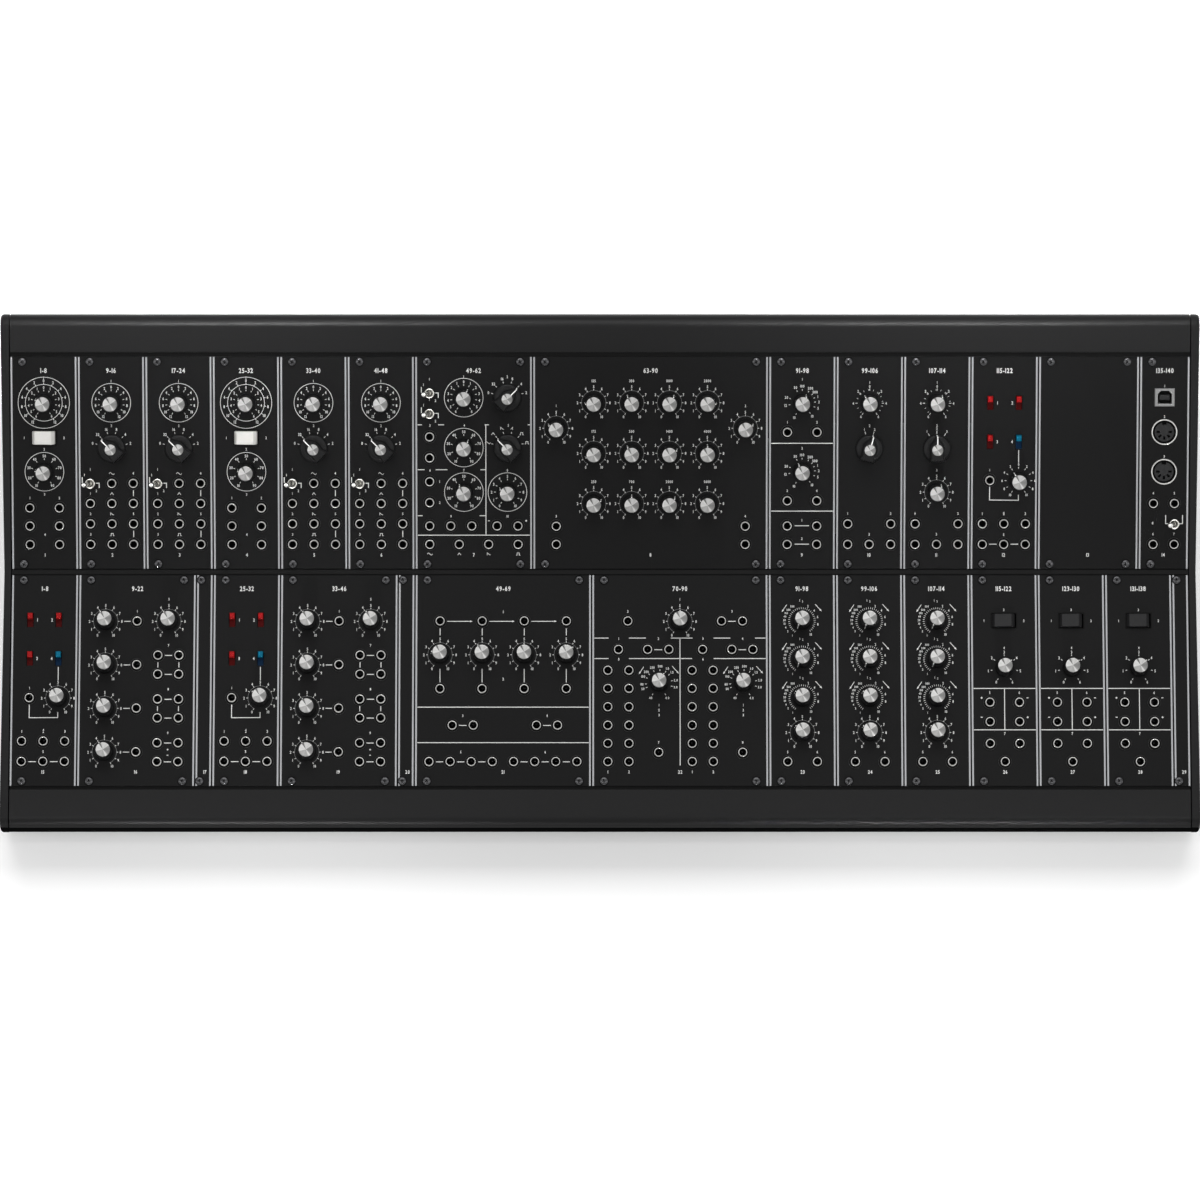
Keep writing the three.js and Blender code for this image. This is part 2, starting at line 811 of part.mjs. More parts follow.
// One bank: its panels share a plate with a seam groove where two panels meet
function buildBank(bank, leftX) {
  const group = new THREE.Group();
  const waiting = {};
  Object.keys(controlKinds).forEach((kind) => {
    waiting[kind] = [...(bank[kind] ?? [])];
  });
  const plate = block(leftX + panelSideGap / 2, leftX + widthOf(bank.panels) - panelSideGap / 2, 0,
    panelHeight, -panelThickness, 0);
  const solids = { added: [plate], cuts: [], refills: [] };
  let panelX = leftX;
  bank.panels.forEach((kindName) => {
    const kind = panelKinds[kindName];
    const width = widthOf([kindName]);
    const edgeX = panelX;
    const placeOf = ([across, down]) => [edgeX + across * width, panelHeight - down * panelHeight];
    if (panelX > leftX) {
      solids.cuts.push(block(panelX - seamWidth / 2, panelX + seamWidth / 2, -overrun,
        panelHeight + overrun, -seamDepth, overrun));
    }
    addSockets(solids, kind, panelX, placeOf);
    addControls(solids, kind, waiting, placeOf, group);
    panelX += width;
  });
  const carved = cutBy(joined(solids.added), solids.cuts);
  const solid = solids.refills.length === 0 ? carved : carved.add(joined(solids.refills));
  group.add(named(bank.name, geometryOf(solid), 'panelBlack'));
  return group;
}

function buildRow(banks, [originY, originZ], slope) {
  const row = new THREE.Group();
  row.position.set(0, originY, originZ);
  row.rotation.x = slope;
  let leftX = -rowWidth / 2;
  banks.forEach((bank) => {
    row.add(buildBank(bank, leftX));
    leftX += widthOf(bank.panels);
  });
  return row;
}

// Rail points under a panel edge, from the open side of a strip slot to the far end of the rail.
// edge is where the panel ends, and inward is +1 or -1, the way from that edge under the panel
function railPoints(onFace, edge, inward) {
  const seat = -panelThickness - clearance;
  const slotCentre = edge + inward * screwInset;
  const half = (inward * stripSlotWidth) / 2;
  return [
    onFace(edge + inward * railReach, -railDepth),
    onFace(edge + inward * railReach, seat),
    onFace(slotCentre + half, seat),
    onFace(slotCentre + half, seat - stripSlotDepth),
    onFace(slotCentre - half, seat - stripSlotDepth),
    onFace(slotCentre - half, seat),
  ];
}

function frontTrim() {
  const panelEnd = rowGap / 2 + panelHeight;
  const start = panelEnd + frontTrimGap;
  const innerReach = frontReach - (trimWall * (1 - Math.sin(lowerSlope))) / Math.cos(lowerSlope);
  const seat = -panelThickness - clearance;
  const rail = railPoints(onLower, panelEnd, -1);
  return drawnAlongX([
    ...rail,
    onLower(start, seat),
    onLower(start),
    [...onLower(frontReach), trimNoseRadius],
    [caseFrontY, frontLipZ],
    [caseFrontY + trimWall, frontLipZ],
    [...onLower(innerReach, -trimWall), trimNoseRadius - trimWall],
    onLower(start + trimWall, -trimWall),
    onLower(start + trimWall, -railDepth),
  ].reverse(), -barHalfWidth, barHalfWidth);
}

function topTrim() {
  const panelEnd = rowGap / 2 + panelHeight;
  const start = panelEnd + topTrimGap;
  const innerReach = topReach - (trimWall * (1 + Math.sin(upperSlope))) / Math.cos(upperSlope);
  const seat = -panelThickness - clearance;
  const rail = railPoints(onUpper, panelEnd, -1);
  return drawnAlongX([
    ...rail,
    onUpper(start, seat),
    onUpper(start),
    [...onUpper(topReach), trimBackRadius],
    [caseBackY, backLipZ],
    [caseBackY - trimWall, backLipZ],
    [...onUpper(innerReach, -trimWall), trimBackRadius - trimWall],
    onUpper(start + trimWall, -trimWall),
    onUpper(start + trimWall, -railDepth),
  ], -barHalfWidth, barHalfWidth);
}

function centreBar() {
  const edge = rowGap / 2;
  const seat = -panelThickness - clearance;
  const ridge = edge - ridgeInset;
  return drawnAlongX([
    ...railPoints(onUpper, edge, 1),
    onUpper(ridge, seat),
    onUpper(ridge, -ridgeDrop),
    onLower(ridge, -ridgeDrop),
    onLower(ridge, seat),
    ...railPoints(onLower, edge, 1).reverse(),
  ].reverse(), -barHalfWidth, barHalfWidth);
}

function cheek(side) {
  const flat = cheekThickness - cheekEdgeRadius;
  const inset = cheekEdgeRadius;
  const shape = new THREE.Shape(outline([
    [caseFrontY + frontUndercut + inset, footHeight + inset],
    [caseBackY - inset, footHeight + inset, trimNoseRadius - inset],
    [caseBackY - inset, backTopZ - inset, trimBackRadius - inset],
    onUpper(0, -inset),
    [caseFrontY + inset, frontTopZ - inset, trimNoseRadius - inset],
    [caseFrontY + inset, frontLipZ],
  ]));
  const geometry = new THREE.ExtrudeGeometry(shape, {
    depth: flat,
    bevelEnabled: true,
    bevelThickness: cheekEdgeRadius,
    bevelSize: cheekEdgeRadius,
    bevelSegments: 2,
  });
  geometry.applyMatrix4(sectionBasis);
  const innerFace = block(-cheekThickness, 0, caseFrontY - overrun, caseBackY + overrun, 0,
    backTopZ + trimBackRadius);
  const trimmed = solidOf(geometry).subtract(solidOf(innerFace));
  const shell = geometryOf(trimmed);
  if (side < 0) {
    shell.rotateY(Math.PI);
    shell.scale(1, 1, -1);
    shell.index.array.reverse();
  }
  return shell.translate(side * innerHalfWidth, 0, 0);
}

function baseTray() {
  const section = drawnAlongX([
    [trayFrontY, frontLipZ + sheetOverlap],
    [trayFrontY, frontLipZ],
    [trayHemY, footHeight, sheetWall * 2],
    [trayBackY, footHeight, sheetWall * 2],
    [trayBackY, backLipZ + sheetOverlap],
    [trayBackY - sheetWall, backLipZ + sheetOverlap],
    [trayBackY - sheetWall, trayFloorZ, sheetWall],
    [trayHemY + sheetWall, trayFloorZ, sheetWall],
    [trayFrontY + sheetWall, frontLipZ],
    [trayFrontY + sheetWall, frontLipZ + sheetOverlap],
  ], -barHalfWidth, barHalfWidth);
  const wallCut = (x, z, width, height) => block(x - width / 2, x + width / 2,
    trayBackY - sheetWall - overrun, trayBackY + overrun, z - height / 2, z + height / 2);
  const slots = ventGroupShares.flatMap((share) => Array.from({ length: ventCount }, (_, i) => wallCut(
    share * ventGroupSpread + (i - (ventCount - 1) / 2) * ventPitch, ventHeight, ventWidth, ventLength)));
  const inletHole = wallCut(inletX, inletHeight, inletFlangeWidth - 2 * inletBodyMargin + 2 * clearance,
    inletFlangeHeight - 2 * inletBodyMargin + 2 * clearance);
  return geometryOf(cutBy(solidOf(section), [...slots, inletHole]));
}

function footStrip() {
  const half = footWidth / 2;
  const points = [
    [-half, footHeight],
    [-half + footChamfer, 0],
    [half - footChamfer, 0],
    [half, footHeight],
  ];
  return drawnAlongX(points, footEndInset - innerHalfWidth, innerHalfWidth - footEndInset);
}

// Inlet and switch housing in a frame with +Z out of the rear wall and +X to the left of the player
const inletX = outerHalfWidth - inletCentreFromLeft;

function inletHousing() {
  const halfFlangeX = inletFlangeWidth / 2;
  const halfFlangeY = inletFlangeHeight / 2;
  const halfBodyX = halfFlangeX - inletBodyMargin;
  const halfBodyY = halfFlangeY - inletBodyMargin;
  const shell = joined([
    block(-halfFlangeX, halfFlangeX, -halfFlangeY, halfFlangeY, 0, inletFlangeThickness),
    block(-halfBodyX, halfBodyX, -halfBodyY, halfBodyY, -inletBodyDepth, overrun),
  ]);
  const halfWellX = inletWellWidth / 2;
  const halfWellY = inletWellHeight / 2;
  const wellShape = new THREE.Shape([
    [-halfWellX, -halfWellY],
    [halfWellX, -halfWellY],
    [halfWellX, halfWellY - inletWellChamfer],
    [halfWellX - inletWellChamfer, halfWellY],
    [inletWellChamfer - halfWellX, halfWellY],
    [-halfWellX, halfWellY - inletWellChamfer],
  ].map(([x, y]) => new THREE.Vector2(x, y)));
  const well = new THREE.ExtrudeGeometry(wellShape, {
    depth: inletWellDepth + overrun,
    bevelEnabled: false,
  }).translate(inletWellShift, 0, inletFlangeThickness - inletWellDepth);
  const halfSwitchX = switchLength / 2 + rockerSwingGap;
  const halfSwitchY = switchWidth / 2 + clearance;
  const switchWell = block(-halfSwitchY, halfSwitchY, -halfSwitchX, halfSwitchX, -switchPocketDepth,
    inletFlangeThickness + overrun).translate(switchShift, 0, 0);
  const wellFloor = inletFlangeThickness - inletWellDepth;
  const pin = (x, y) => block(x - inletPinWidth / 2, x + inletPinWidth / 2, y - inletPinHeight / 2,
    y + inletPinHeight / 2, wellFloor - overrun, wellFloor + inletPinLength);
  return geometryOf(cutBy(shell, [well, switchWell]).add(joined([
    pin(inletWellShift - inletPinSpread, -inletPinDrop),
    pin(inletWellShift + inletPinSpread, -inletPinDrop),
    pin(inletWellShift, inletEarthRise),
  ])));
}

function powerRocker() {
  return rockerBody(switchLength, switchTopLength, switchHeight, switchBodyDepth, switchPivotDepth,
    switchWidth).rotateZ(Math.PI / 2);
}

function buildInlet() {
  const group = new THREE.Group();
  group.position.set(inletX, trayBackY, inletHeight);
  group.quaternion.setFromRotationMatrix(new THREE.Matrix4().makeBasis(
    new THREE.Vector3(-1, 0, 0), new THREE.Vector3(0, 0, 1), new THREE.Vector3(0, 1, 0)));
  group.add(named('power_inlet', inletHousing(), 'socket'));
  const rocker = named('power_switch', powerRocker(), 'knobBlack');
  rocker.position.set(switchShift, 0, inletFlangeThickness - switchPivotDepth);
  rocker.rotation.x = -rockerLean;
  group.add(rocker);
  return group;
}

function powerSupply() {
  const can = block(-supplyWidth / 2, supplyWidth / 2, -supplyDepth / 2, supplyDepth / 2, 0, supplyHeight);
  const pitch = supplyWidth / (supplyFinCount + 1);
  const grooves = Array.from({ length: supplyFinCount }, (_, i) => {
    const x = (i + 1) * pitch - supplyWidth / 2;
    return block(x - supplyFinWidth / 2, x + supplyFinWidth / 2, supplyFinWidth - supplyDepth / 2,
      supplyDepth / 2 - supplyFinWidth, supplyHeight - supplyFinDepth, supplyHeight + overrun);
  });
  const ledge = block(-supplyWidth / 2 - supplyFinDepth, supplyWidth / 2 + supplyFinDepth,
    -supplyDepth / 2, supplyDepth / 2, 0, supplyLidWall);
  return geometryOf(cutBy(joined([can, ledge]), grooves));
}

// A distribution board on posts, with one keyed header for each group of modules
function busBoard() {
  const halfLength = rowWidth / 2 - boardEndInset;
  const pieces = [block(-halfLength, halfLength, -boardWidth / 2, boardWidth / 2, boardRise,
    boardRise + boardThickness)];
  const postX = halfLength - boardWidth / 2;
  [-postX, 0, postX].forEach((x) => {
    pieces.push(post(x, 0, 0, boardRise + overrun, boardPostRadius, boreSides));
  });
  const pitch = (2 * halfLength) / boardHeaderCount;
  for (let i = 0; i < boardHeaderCount; i += 1) {
    const x = (i + 1 / 2) * pitch - halfLength;
    pieces.push(block(x - headerLength / 2, x + headerLength / 2, -headerWidth / 2, headerWidth / 2,
      boardRise + boardThickness - overrun, boardRise + boardThickness + headerDepth));
  }
  return geometryOf(joined(pieces));
}

function placed(mesh, x, y, z) {
  mesh.position.set(x, y, z);
  return mesh;
}

const supplyX = innerHalfWidth - supplyRightGap - supplyWidth / 2;
const supplyY = trayBackY - supplyBackGap - supplyDepth / 2;
const upperBoardY = supplyY - supplyDepth / 2 - upperBoardGap - boardWidth / 2;
const lowerBoardY = trayFrontY + lowerBoardGap + boardWidth / 2;

const synthesizer = new THREE.Group();
synthesizer.add(
  named('base_tray', baseTray(), 'sheetBlack'),
  named('front_trim', frontTrim(), 'satinBlack'),
  named('top_trim', topTrim(), 'satinBlack'),
  named('centre_bar', centreBar(), 'sheetBlack'),
  named('left_cheek', cheek(-1), 'satinBlack'),
  named('right_cheek', cheek(1), 'satinBlack'),
  placed(named('front_foot_strip', footStrip(), 'rubber'), 0, trayFrontY + footEdgeInset, 0),
  placed(named('rear_foot_strip', footStrip(), 'rubber'), 0, trayBackY - footEdgeInset, 0),
  placed(named('power_supply', powerSupply(), 'supplyMetal'), supplyX, supplyY, trayFloorZ),
  placed(named('upper_bus_board', busBoard(), 'circuitBoard'), 0, upperBoardY, trayFloorZ),
  placed(named('lower_bus_board', busBoard(), 'circuitBoard'), 0, lowerBoardY, trayFloorZ),
  buildInlet(),
  buildRow(lowerBanks, onLower(rowGap / 2 + panelHeight), lowerSlope),
  buildRow(upperBanks, onUpper(rowGap / 2), upperSlope),
);

export default synthesizer;
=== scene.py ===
"""Looks of the modular synthesizer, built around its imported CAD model."""
import math

import bpy
import numpy as np
from mathutils import Matrix, Vector
from mathutils.geometry import tessellate_polygon


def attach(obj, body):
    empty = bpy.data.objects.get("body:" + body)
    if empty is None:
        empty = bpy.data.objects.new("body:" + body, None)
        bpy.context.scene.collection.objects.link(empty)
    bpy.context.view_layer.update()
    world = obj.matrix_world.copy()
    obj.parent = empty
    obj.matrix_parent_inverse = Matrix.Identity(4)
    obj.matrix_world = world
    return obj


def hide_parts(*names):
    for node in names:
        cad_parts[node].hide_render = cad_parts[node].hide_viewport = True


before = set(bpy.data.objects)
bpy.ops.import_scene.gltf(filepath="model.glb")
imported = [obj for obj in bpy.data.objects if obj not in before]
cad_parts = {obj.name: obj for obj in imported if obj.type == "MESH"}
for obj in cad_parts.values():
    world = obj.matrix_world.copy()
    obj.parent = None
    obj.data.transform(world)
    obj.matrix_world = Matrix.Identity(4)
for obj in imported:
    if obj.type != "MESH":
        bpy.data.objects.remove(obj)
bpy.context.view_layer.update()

MM = 0.001
CONSOLE = "console"

# Sizes shared with the CAD model, in millimetres
PANEL_UNIT = 5.08
ROW_UNITS = 140
PANEL_HEIGHT = 128.5
PANEL_THICKNESS = 2.0
PANEL_GAP = 0.3
LOWER_SLOPE = math.radians(9)
UPPER_SLOPE = math.radians(24.5)
FOLD_HEIGHT = 70.0
ROW_GAP = 3.8
FRONT_TRIM_GAP = 2.1
TOP_TRIM_GAP = 2.6
FRONT_TRIM_DEPTH = 22.3
TOP_TRIM_DEPTH = 27.0
CHEEK_THICKNESS = 5.4
CHEEK_EDGE = 2.2
TRIM_WALL = 2.5
TRIM_NOSE = 7.5
TRIM_BACK = 8.0
FRONT_LIP = 13.0
BACK_LIP = 22.0
FRONT_UNDERCUT = 14.0
CLEARANCE = 0.3
FOOT_HEIGHT = 4.0
SHEET_INSET = 3.8
SCREW_INSET = 3.0
RAIL_REACH = 7.0
RAIL_DEPTH = 9.0
STRIP_SLOT_WIDTH = 2.6
STRIP_SLOT_DEPTH = 5.0

# Sizes of the visual model alone
TRIM_SEAM = 0.3
CHEEK_WAIST = 1.1
HEM_HEIGHT = 8.6
HEM_SETBACK = 0.12
HEM_DEPTH = 6.0

ROW_WIDTH = PANEL_UNIT * ROW_UNITS
INNER_HALF = ROW_WIDTH / 2 + CLEARANCE
OUTER_HALF = INNER_HALF + CHEEK_THICKNESS
ROW_EDGE = ROW_GAP / 2 + PANEL_HEIGHT
FRONT_REACH = ROW_EDGE + FRONT_TRIM_GAP + FRONT_TRIM_DEPTH
TOP_REACH = ROW_EDGE + TOP_TRIM_GAP + TOP_TRIM_DEPTH
FRONT_Y = -FRONT_REACH * math.cos(LOWER_SLOPE)
BACK_Y = TOP_REACH * math.cos(UPPER_SLOPE)
FOLD_Y = -(FRONT_Y + BACK_Y) / 2
CASE_FRONT_Y = FOLD_Y + FRONT_Y
CASE_BACK_Y = FOLD_Y + BACK_Y
FRONT_TOP_Z = FOLD_HEIGHT - FRONT_REACH * math.sin(LOWER_SLOPE)
BACK_TOP_Z = FOLD_HEIGHT + TOP_REACH * math.sin(UPPER_SLOPE)
FRONT_LIP_Z = FRONT_TOP_Z - FRONT_LIP
BACK_LIP_Z = BACK_TOP_Z - BACK_LIP


def on_lower(along, off=0.0):
    """(y, z) at a distance from the fold along the lower face, and off that face."""
    y = FOLD_Y - along * math.cos(LOWER_SLOPE) - off * math.sin(LOWER_SLOPE)
    return y, FOLD_HEIGHT - along * math.sin(LOWER_SLOPE) + off * math.cos(LOWER_SLOPE)


def on_upper(along, off=0.0):
    """(y, z) at a distance from the fold along the upper face, and off that face."""
    y = FOLD_Y + along * math.cos(UPPER_SLOPE) - off * math.sin(UPPER_SLOPE)
    return y, FOLD_HEIGHT + along * math.sin(UPPER_SLOPE) + off * math.cos(UPPER_SLOPE)


def row_frame(origin, slope):
    return Matrix.Translation((0, *origin)) @ Matrix.Rotation(slope, 4, "X")


LOWER_ROW = row_frame(on_lower(ROW_EDGE), LOWER_SLOPE)
UPPER_ROW = row_frame(on_upper(ROW_GAP / 2), UPPER_SLOPE)


# How far a corner may stretch an inset or a ribbon, and where print lies over its face
INSET_LIMIT = 0.35
RIBBON_LIMIT = 0.4
PRINT_LOW = -0.02
PRINT_HIGH = 0.05


# Shapes are (points, faces) in millimetres, and outlines go counter-clockwise
def stack(rings, closed=False):
    """Rings of equally many points, each joined to the next, with both ends filled or all in a loop."""
    count, levels = len(rings[0]), len(rings)
    points = [point for ring in rings for point in ring]
    faces = []
    for level in range(levels if closed else levels - 1):
        low, high = level * count, (level + 1) % levels * count
        for i in range(count):
            j = (i + 1) % count
            faces.append((low + i, low + j, high + j, high + i))
    if not closed:
        faces.append(tuple(reversed(range(count))))
        faces.append(tuple(range(len(points) - count, len(points))))
    return np.array(points), faces


def lathe(profile, sides, closed=False):
    """A (radius, height) profile turned round Z, bottom to top, or a closed ring of it."""
    turns = [i * 2 * math.pi / sides for i in range(sides)]
    points, rings, faces = [], [], []
    for radius, height in profile:
        used = turns if radius else turns[:1]
        spots = [(radius * math.cos(a), radius * math.sin(a), height) for a in used]
        rings.append([len(points) + i % len(spots) for i in range(sides)])
        points += spots
    for low, high in zip(rings, rings[1:] + rings[:1] if closed else rings[1:]):
        for i in range(sides):
            j = (i + 1) % sides
            face = tuple(dict.fromkeys((low[i], low[j], high[j], high[i])))
            if len(face) > 2:
                faces.append(face)
    return np.array(points), faces


def inset(outline, distance):
    """An outline moved inwards by a distance."""
    moved = []
    for i, point in enumerate(outline):
        corner = Vector(point)
        first = (corner - Vector(outline[i - 1])).normalized()
        second = (Vector(outline[(i + 1) % len(outline)]) - corner).normalized()
        normal = Vector((-first.y - second.y, first.x + second.x))
        if normal.length < 1e-9:
            normal = Vector((-first.y, first.x))
        normal.normalize()
        spread = max(INSET_LIMIT, normal.dot(Vector((-first.y, first.x))))
        moved.append(tuple(corner + normal * (distance / spread)))
    return moved


def prism(outline, low, high, chamfer=0.0, taper=0.0):
    """An outline drawn out along Z, with a chamfered upper rim."""
    top = inset(outline, taper) if taper else outline
    levels = [(outline, low), (top, high - chamfer)]
    if chamfer:
        levels.append((inset(top, chamfer), high))
    return stack([[(x, y, z) for x, y in ring] for ring, z in levels])


def layered(outline, levels):
    """An outline stacked up along Z, with (inset, height) levels."""
    return stack([[(x, y, z) for x, y in inset(outline, cut)] for cut, z in levels])


def along_x(section, start, end):
    """A (y, z) section drawn out along X."""
    turning = sum(a[0] * b[1] - b[0] * a[1] for a, b in zip(section, section[1:] + section[:1]))
    if turning < 0:
        section = section[::-1]
    return stack([[(x, y, z) for y, z in section] for x in (start, end)])


def rectangle(x, y, half_x, half_y):
    left, right, low, high = x - half_x, x + half_x, y - half_y, y + half_y
    return [(left, low), (right, low), (right, high), (left, high)]


def block(x0, x1, y0, y1, z0, z1, chamfer=0.0):
    return prism([(x0, y0), (x1, y0), (x1, y1), (x0, y1)], z0, z1, chamfer)


def circle(x, y, radius, sides):
    turns = [2 * math.pi * i / sides for i in range(sides)]
    return [(x + radius * math.cos(a), y + radius * math.sin(a)) for a in turns]


def spot(x, y, radius, clockwise):
    """The place at a distance from a point, in a direction clockwise from up."""
    angle = math.radians(clockwise)
    return x + radius * math.sin(angle), y + radius * math.cos(angle)


def filled(loops):
    """Triangles between an outline and the holes in it, numbered through all loops."""
    flat = [Vector(point) for loop in loops for point in loop]
    triangles = []
    for a, b, c in tessellate_polygon([[Vector((x, y, 0)) for x, y in loop] for loop in loops]):
        if (flat[b] - flat[a]).cross(flat[c] - flat[a]) < 0:
            b, c = c, b
        triangles.append((a, b, c))
    return triangles


def pierced_plate(outline, holes, low, high, chamfer):
    """A plate with clockwise holes right through it and chamfered rims."""
    loops = [inset(outline, chamfer), *holes]
    flat = [point for loop in loops for point in loop]
    count, size = len(flat), len(outline)
    points = [(x, y, z) for z in (high, low) for x, y in flat]
    points += [(x, y, z) for z in (high - chamfer, low + chamfer) for x, y in outline]
    faces = filled(loops)
    faces += [(a + count, c + count, b + count) for a, b, c in faces]
    start = size
    for hole in holes:
        for i in range(len(hole)):
            top, after = start + i, start + (i + 1) % len(hole)
            faces.append((after, top, top + count, after + count))
        start += len(hole)
    upper, lower = 2 * count, 2 * count + size
    for i in range(size):
        j = (i + 1) % size
        faces.append((upper + i, upper + j, j, i))
        faces.append((lower + i, lower + j, upper + j, upper + i))
        faces.append((count + i, count + j, lower + j, lower + i))
    return np.array(points), faces


def ribbon(path, width, closed=False, high=PRINT_HIGH):
    """A printed line along a path, as a thin raised strip."""
    rings, count = [], len(path)
    for i in range(count):
        corner = Vector(path[i])
        steps = []
        if closed or i > 0:
            steps.append((corner - Vector(path[i - 1])).normalized())
        if closed or i < count - 1:
            steps.append((Vector(path[(i + 1) % count]) - corner).normalized())
        along = sum(steps, Vector((0, 0))).normalized()
        side = Vector((-along.y, along.x))
        side *= width / 2 / max(RIBBON_LIMIT, side.dot(Vector((-steps[0].y, steps[0].x))))
        left, right = corner + side, corner - side
        rings.append([(*left, PRINT_LOW), (*left, high), (*right, high), (*right, PRINT_LOW)])
    return stack(rings, closed)


def rounded(points, steps):
    """An outline in which a point (a, b, radius) becomes a rounded corner."""
    made = []
    for i, point in enumerate(points):
        corner = Vector(point[:2])
        if len(point) < 3:
            made.append(tuple(corner))
            continue
        radius = point[2]
        before = (Vector(points[i - 1][:2]) - corner).normalized()
        after = (Vector(points[(i + 1) % len(points)][:2]) - corner).normalized()
        half = before.angle(after) / 2
        centre = corner + (before + after).normalized() * (radius / math.sin(half))
        first = corner + before * (radius / math.tan(half)) - centre
        last = corner + after * (radius / math.tan(half)) - centre
        turn = math.atan2(first.x * last.y - first.y * last.x, first.dot(last))
        for step in range(steps + 1):
            made.append(tuple(centre + Matrix.Rotation(turn * step / steps, 2) @ first))
    return made


def merged(shapes):
    points, faces, start = [], [], 0
    for shape_points, shape_faces in shapes:
        points.append(shape_points)
        faces += [tuple(start + i for i in face) for face in shape_faces]
        start += len(shape_points)
    return np.concatenate(points), faces


def flipped(shape):
    points, faces = shape
    return points, [tuple(reversed(face)) for face in faces]


def under(shape, matrix):
    """A shape carried by a matrix."""
    points, faces = shape
    turn = np.array(matrix.to_3x3())
    return points @ turn.T + np.array(matrix.translation), faces


def at(x, y, z=0.0, clockwise=0.0, lean=0.0):
    """Place on a panel, turned clockwise and leaned over its own Y axis, in degrees."""
    turn = Matrix.Rotation(-math.radians(clockwise), 4, "Z")
    return Matrix.Translation((x, y, z)) @ turn @ Matrix.Rotation(math.radians(lean), 4, "Y")


# Pieces wait here until every shape of theirs is known, and some stand for a node of the CAD model
waiting = {}
replacing = []
SHARP = 35.0
SHARP_PLATE = 20.0
SHARP_NODE = 30.0


def add(name, shape, matrix, material, slot, body=CONSOLE, smooth=SHARP, shades=()):
    entry = waiting.setdefault(name, {"shapes": [], "material": material, "slot": slot,
                                      "body": body, "smooth": smooth, "shades": []})
    entry["shapes"].append(under(shape, matrix))
    entry["shades"] += shades


def make_pieces():
    made = {}
    for name, entry in waiting.items():
        points, faces = merged(entry["shapes"])
        mesh = bpy.data.meshes.new(name)
        mesh.from_pydata((points * MM).tolist(), [], faces)
        mesh.polygons.foreach_set("use_smooth", [True] * len(mesh.polygons))
        mesh.set_sharp_from_angle(angle=math.radians(entry["smooth"]))
        mesh.materials.append(materials[entry["material"]])
        if entry["shades"]:
            mesh.attributes.new("shade", "FLOAT", "FACE").data.foreach_set("value", entry["shades"])
        piece = bpy.data.objects.new(name, mesh)
        bpy.context.scene.collection.objects.link(piece)
        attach(piece, entry["body"])
        made[name] = piece
    return made


# Materials
BUMP_DEPTH = 0.0001
COAT_ROUGHNESS = 0.15
BROAD_SCALE = 14.0


def feed(tree, node, values):
    """Sets a node's inputs. A value that is another node's output is linked."""
    for name, value in values.items():
        if isinstance(value, bpy.types.NodeSocket):
            tree.links.new(value, node.inputs[name])
        else:
            node.inputs[name].default_value = value


def new_node(tree, kind, values, **settings):
    node = tree.nodes.new(f"ShaderNode{kind}")
    for name, value in settings.items():
        setattr(node, name, value)
    feed(tree, node, values)
    return node


def new_material(name):
    material = bpy.data.materials.new(name)
    material.use_nodes = True
    return material, material.node_tree


def surface(name, colour, roughness, metallic=0.0, specular=0.5, grain=0.0, bump=0.0, grain_scale=900.0,
            uneven=0.06, coat=0.0, stretch=(1.0, 1.0, 1.0), shaded=False):
    """A painted, moulded or plated surface with fine variation in colour, gloss and relief."""
    material, tree = new_material(name)
    shader = tree.nodes["Principled BSDF"]
    place = new_node(tree, "TexCoord", {})
    mapping = new_node(tree, "Mapping", {"Vector": place.outputs["Object"], "Scale": stretch})
    spread = mapping.outputs["Vector"]
    fine = new_node(tree, "TexNoise", {"Vector": spread, "Scale": grain_scale, "Detail": 3.0})
    broad = new_node(tree, "TexNoise", {"Vector": spread, "Scale": BROAD_SCALE, "Detail": 4.0})
    dark = (*[c * (1 - grain) for c in colour], 1)
    light = (*[min(1.0, c * (1 + grain)) for c in colour], 1)
    tint = new_node(tree, "Mix", {"A": dark, "B": light, "Factor": fine.outputs["Fac"]}, data_type="RGBA")
    # On the caps the colour is multiplied by a painted reflection held in the shade attribute
    if shaded:
        shade = new_node(tree, "Attribute", {}, attribute_name="shade")
        painted_reflection_mix = {"A": tint.outputs["Result"], "B": shade.outputs["Fac"], "Factor": 1.0}
        tint = new_node(tree, "Mix", painted_reflection_mix, data_type="RGBA", blend_type="MULTIPLY")
    gloss = new_node(tree, "MapRange", {"Value": broad.outputs["Fac"],
                                        "To Min": max(0.02, roughness - uneven),
                                        "To Max": min(1.0, roughness + uneven)})
    feed(tree, shader, {"Metallic": metallic, "Specular IOR Level": specular, "Coat Weight": coat,
                        "Coat Roughness": COAT_ROUGHNESS, "Base Color": tint.outputs["Result"],
                        "Roughness": gloss.outputs["Result"]})
    if bump:
        relief = new_node(tree, "Bump", {"Strength": bump, "Distance": BUMP_DEPTH,
                                         "Height": fine.outputs["Fac"]})
        feed(tree, shader, {"Normal": relief.outputs["Normal"]})
    return material


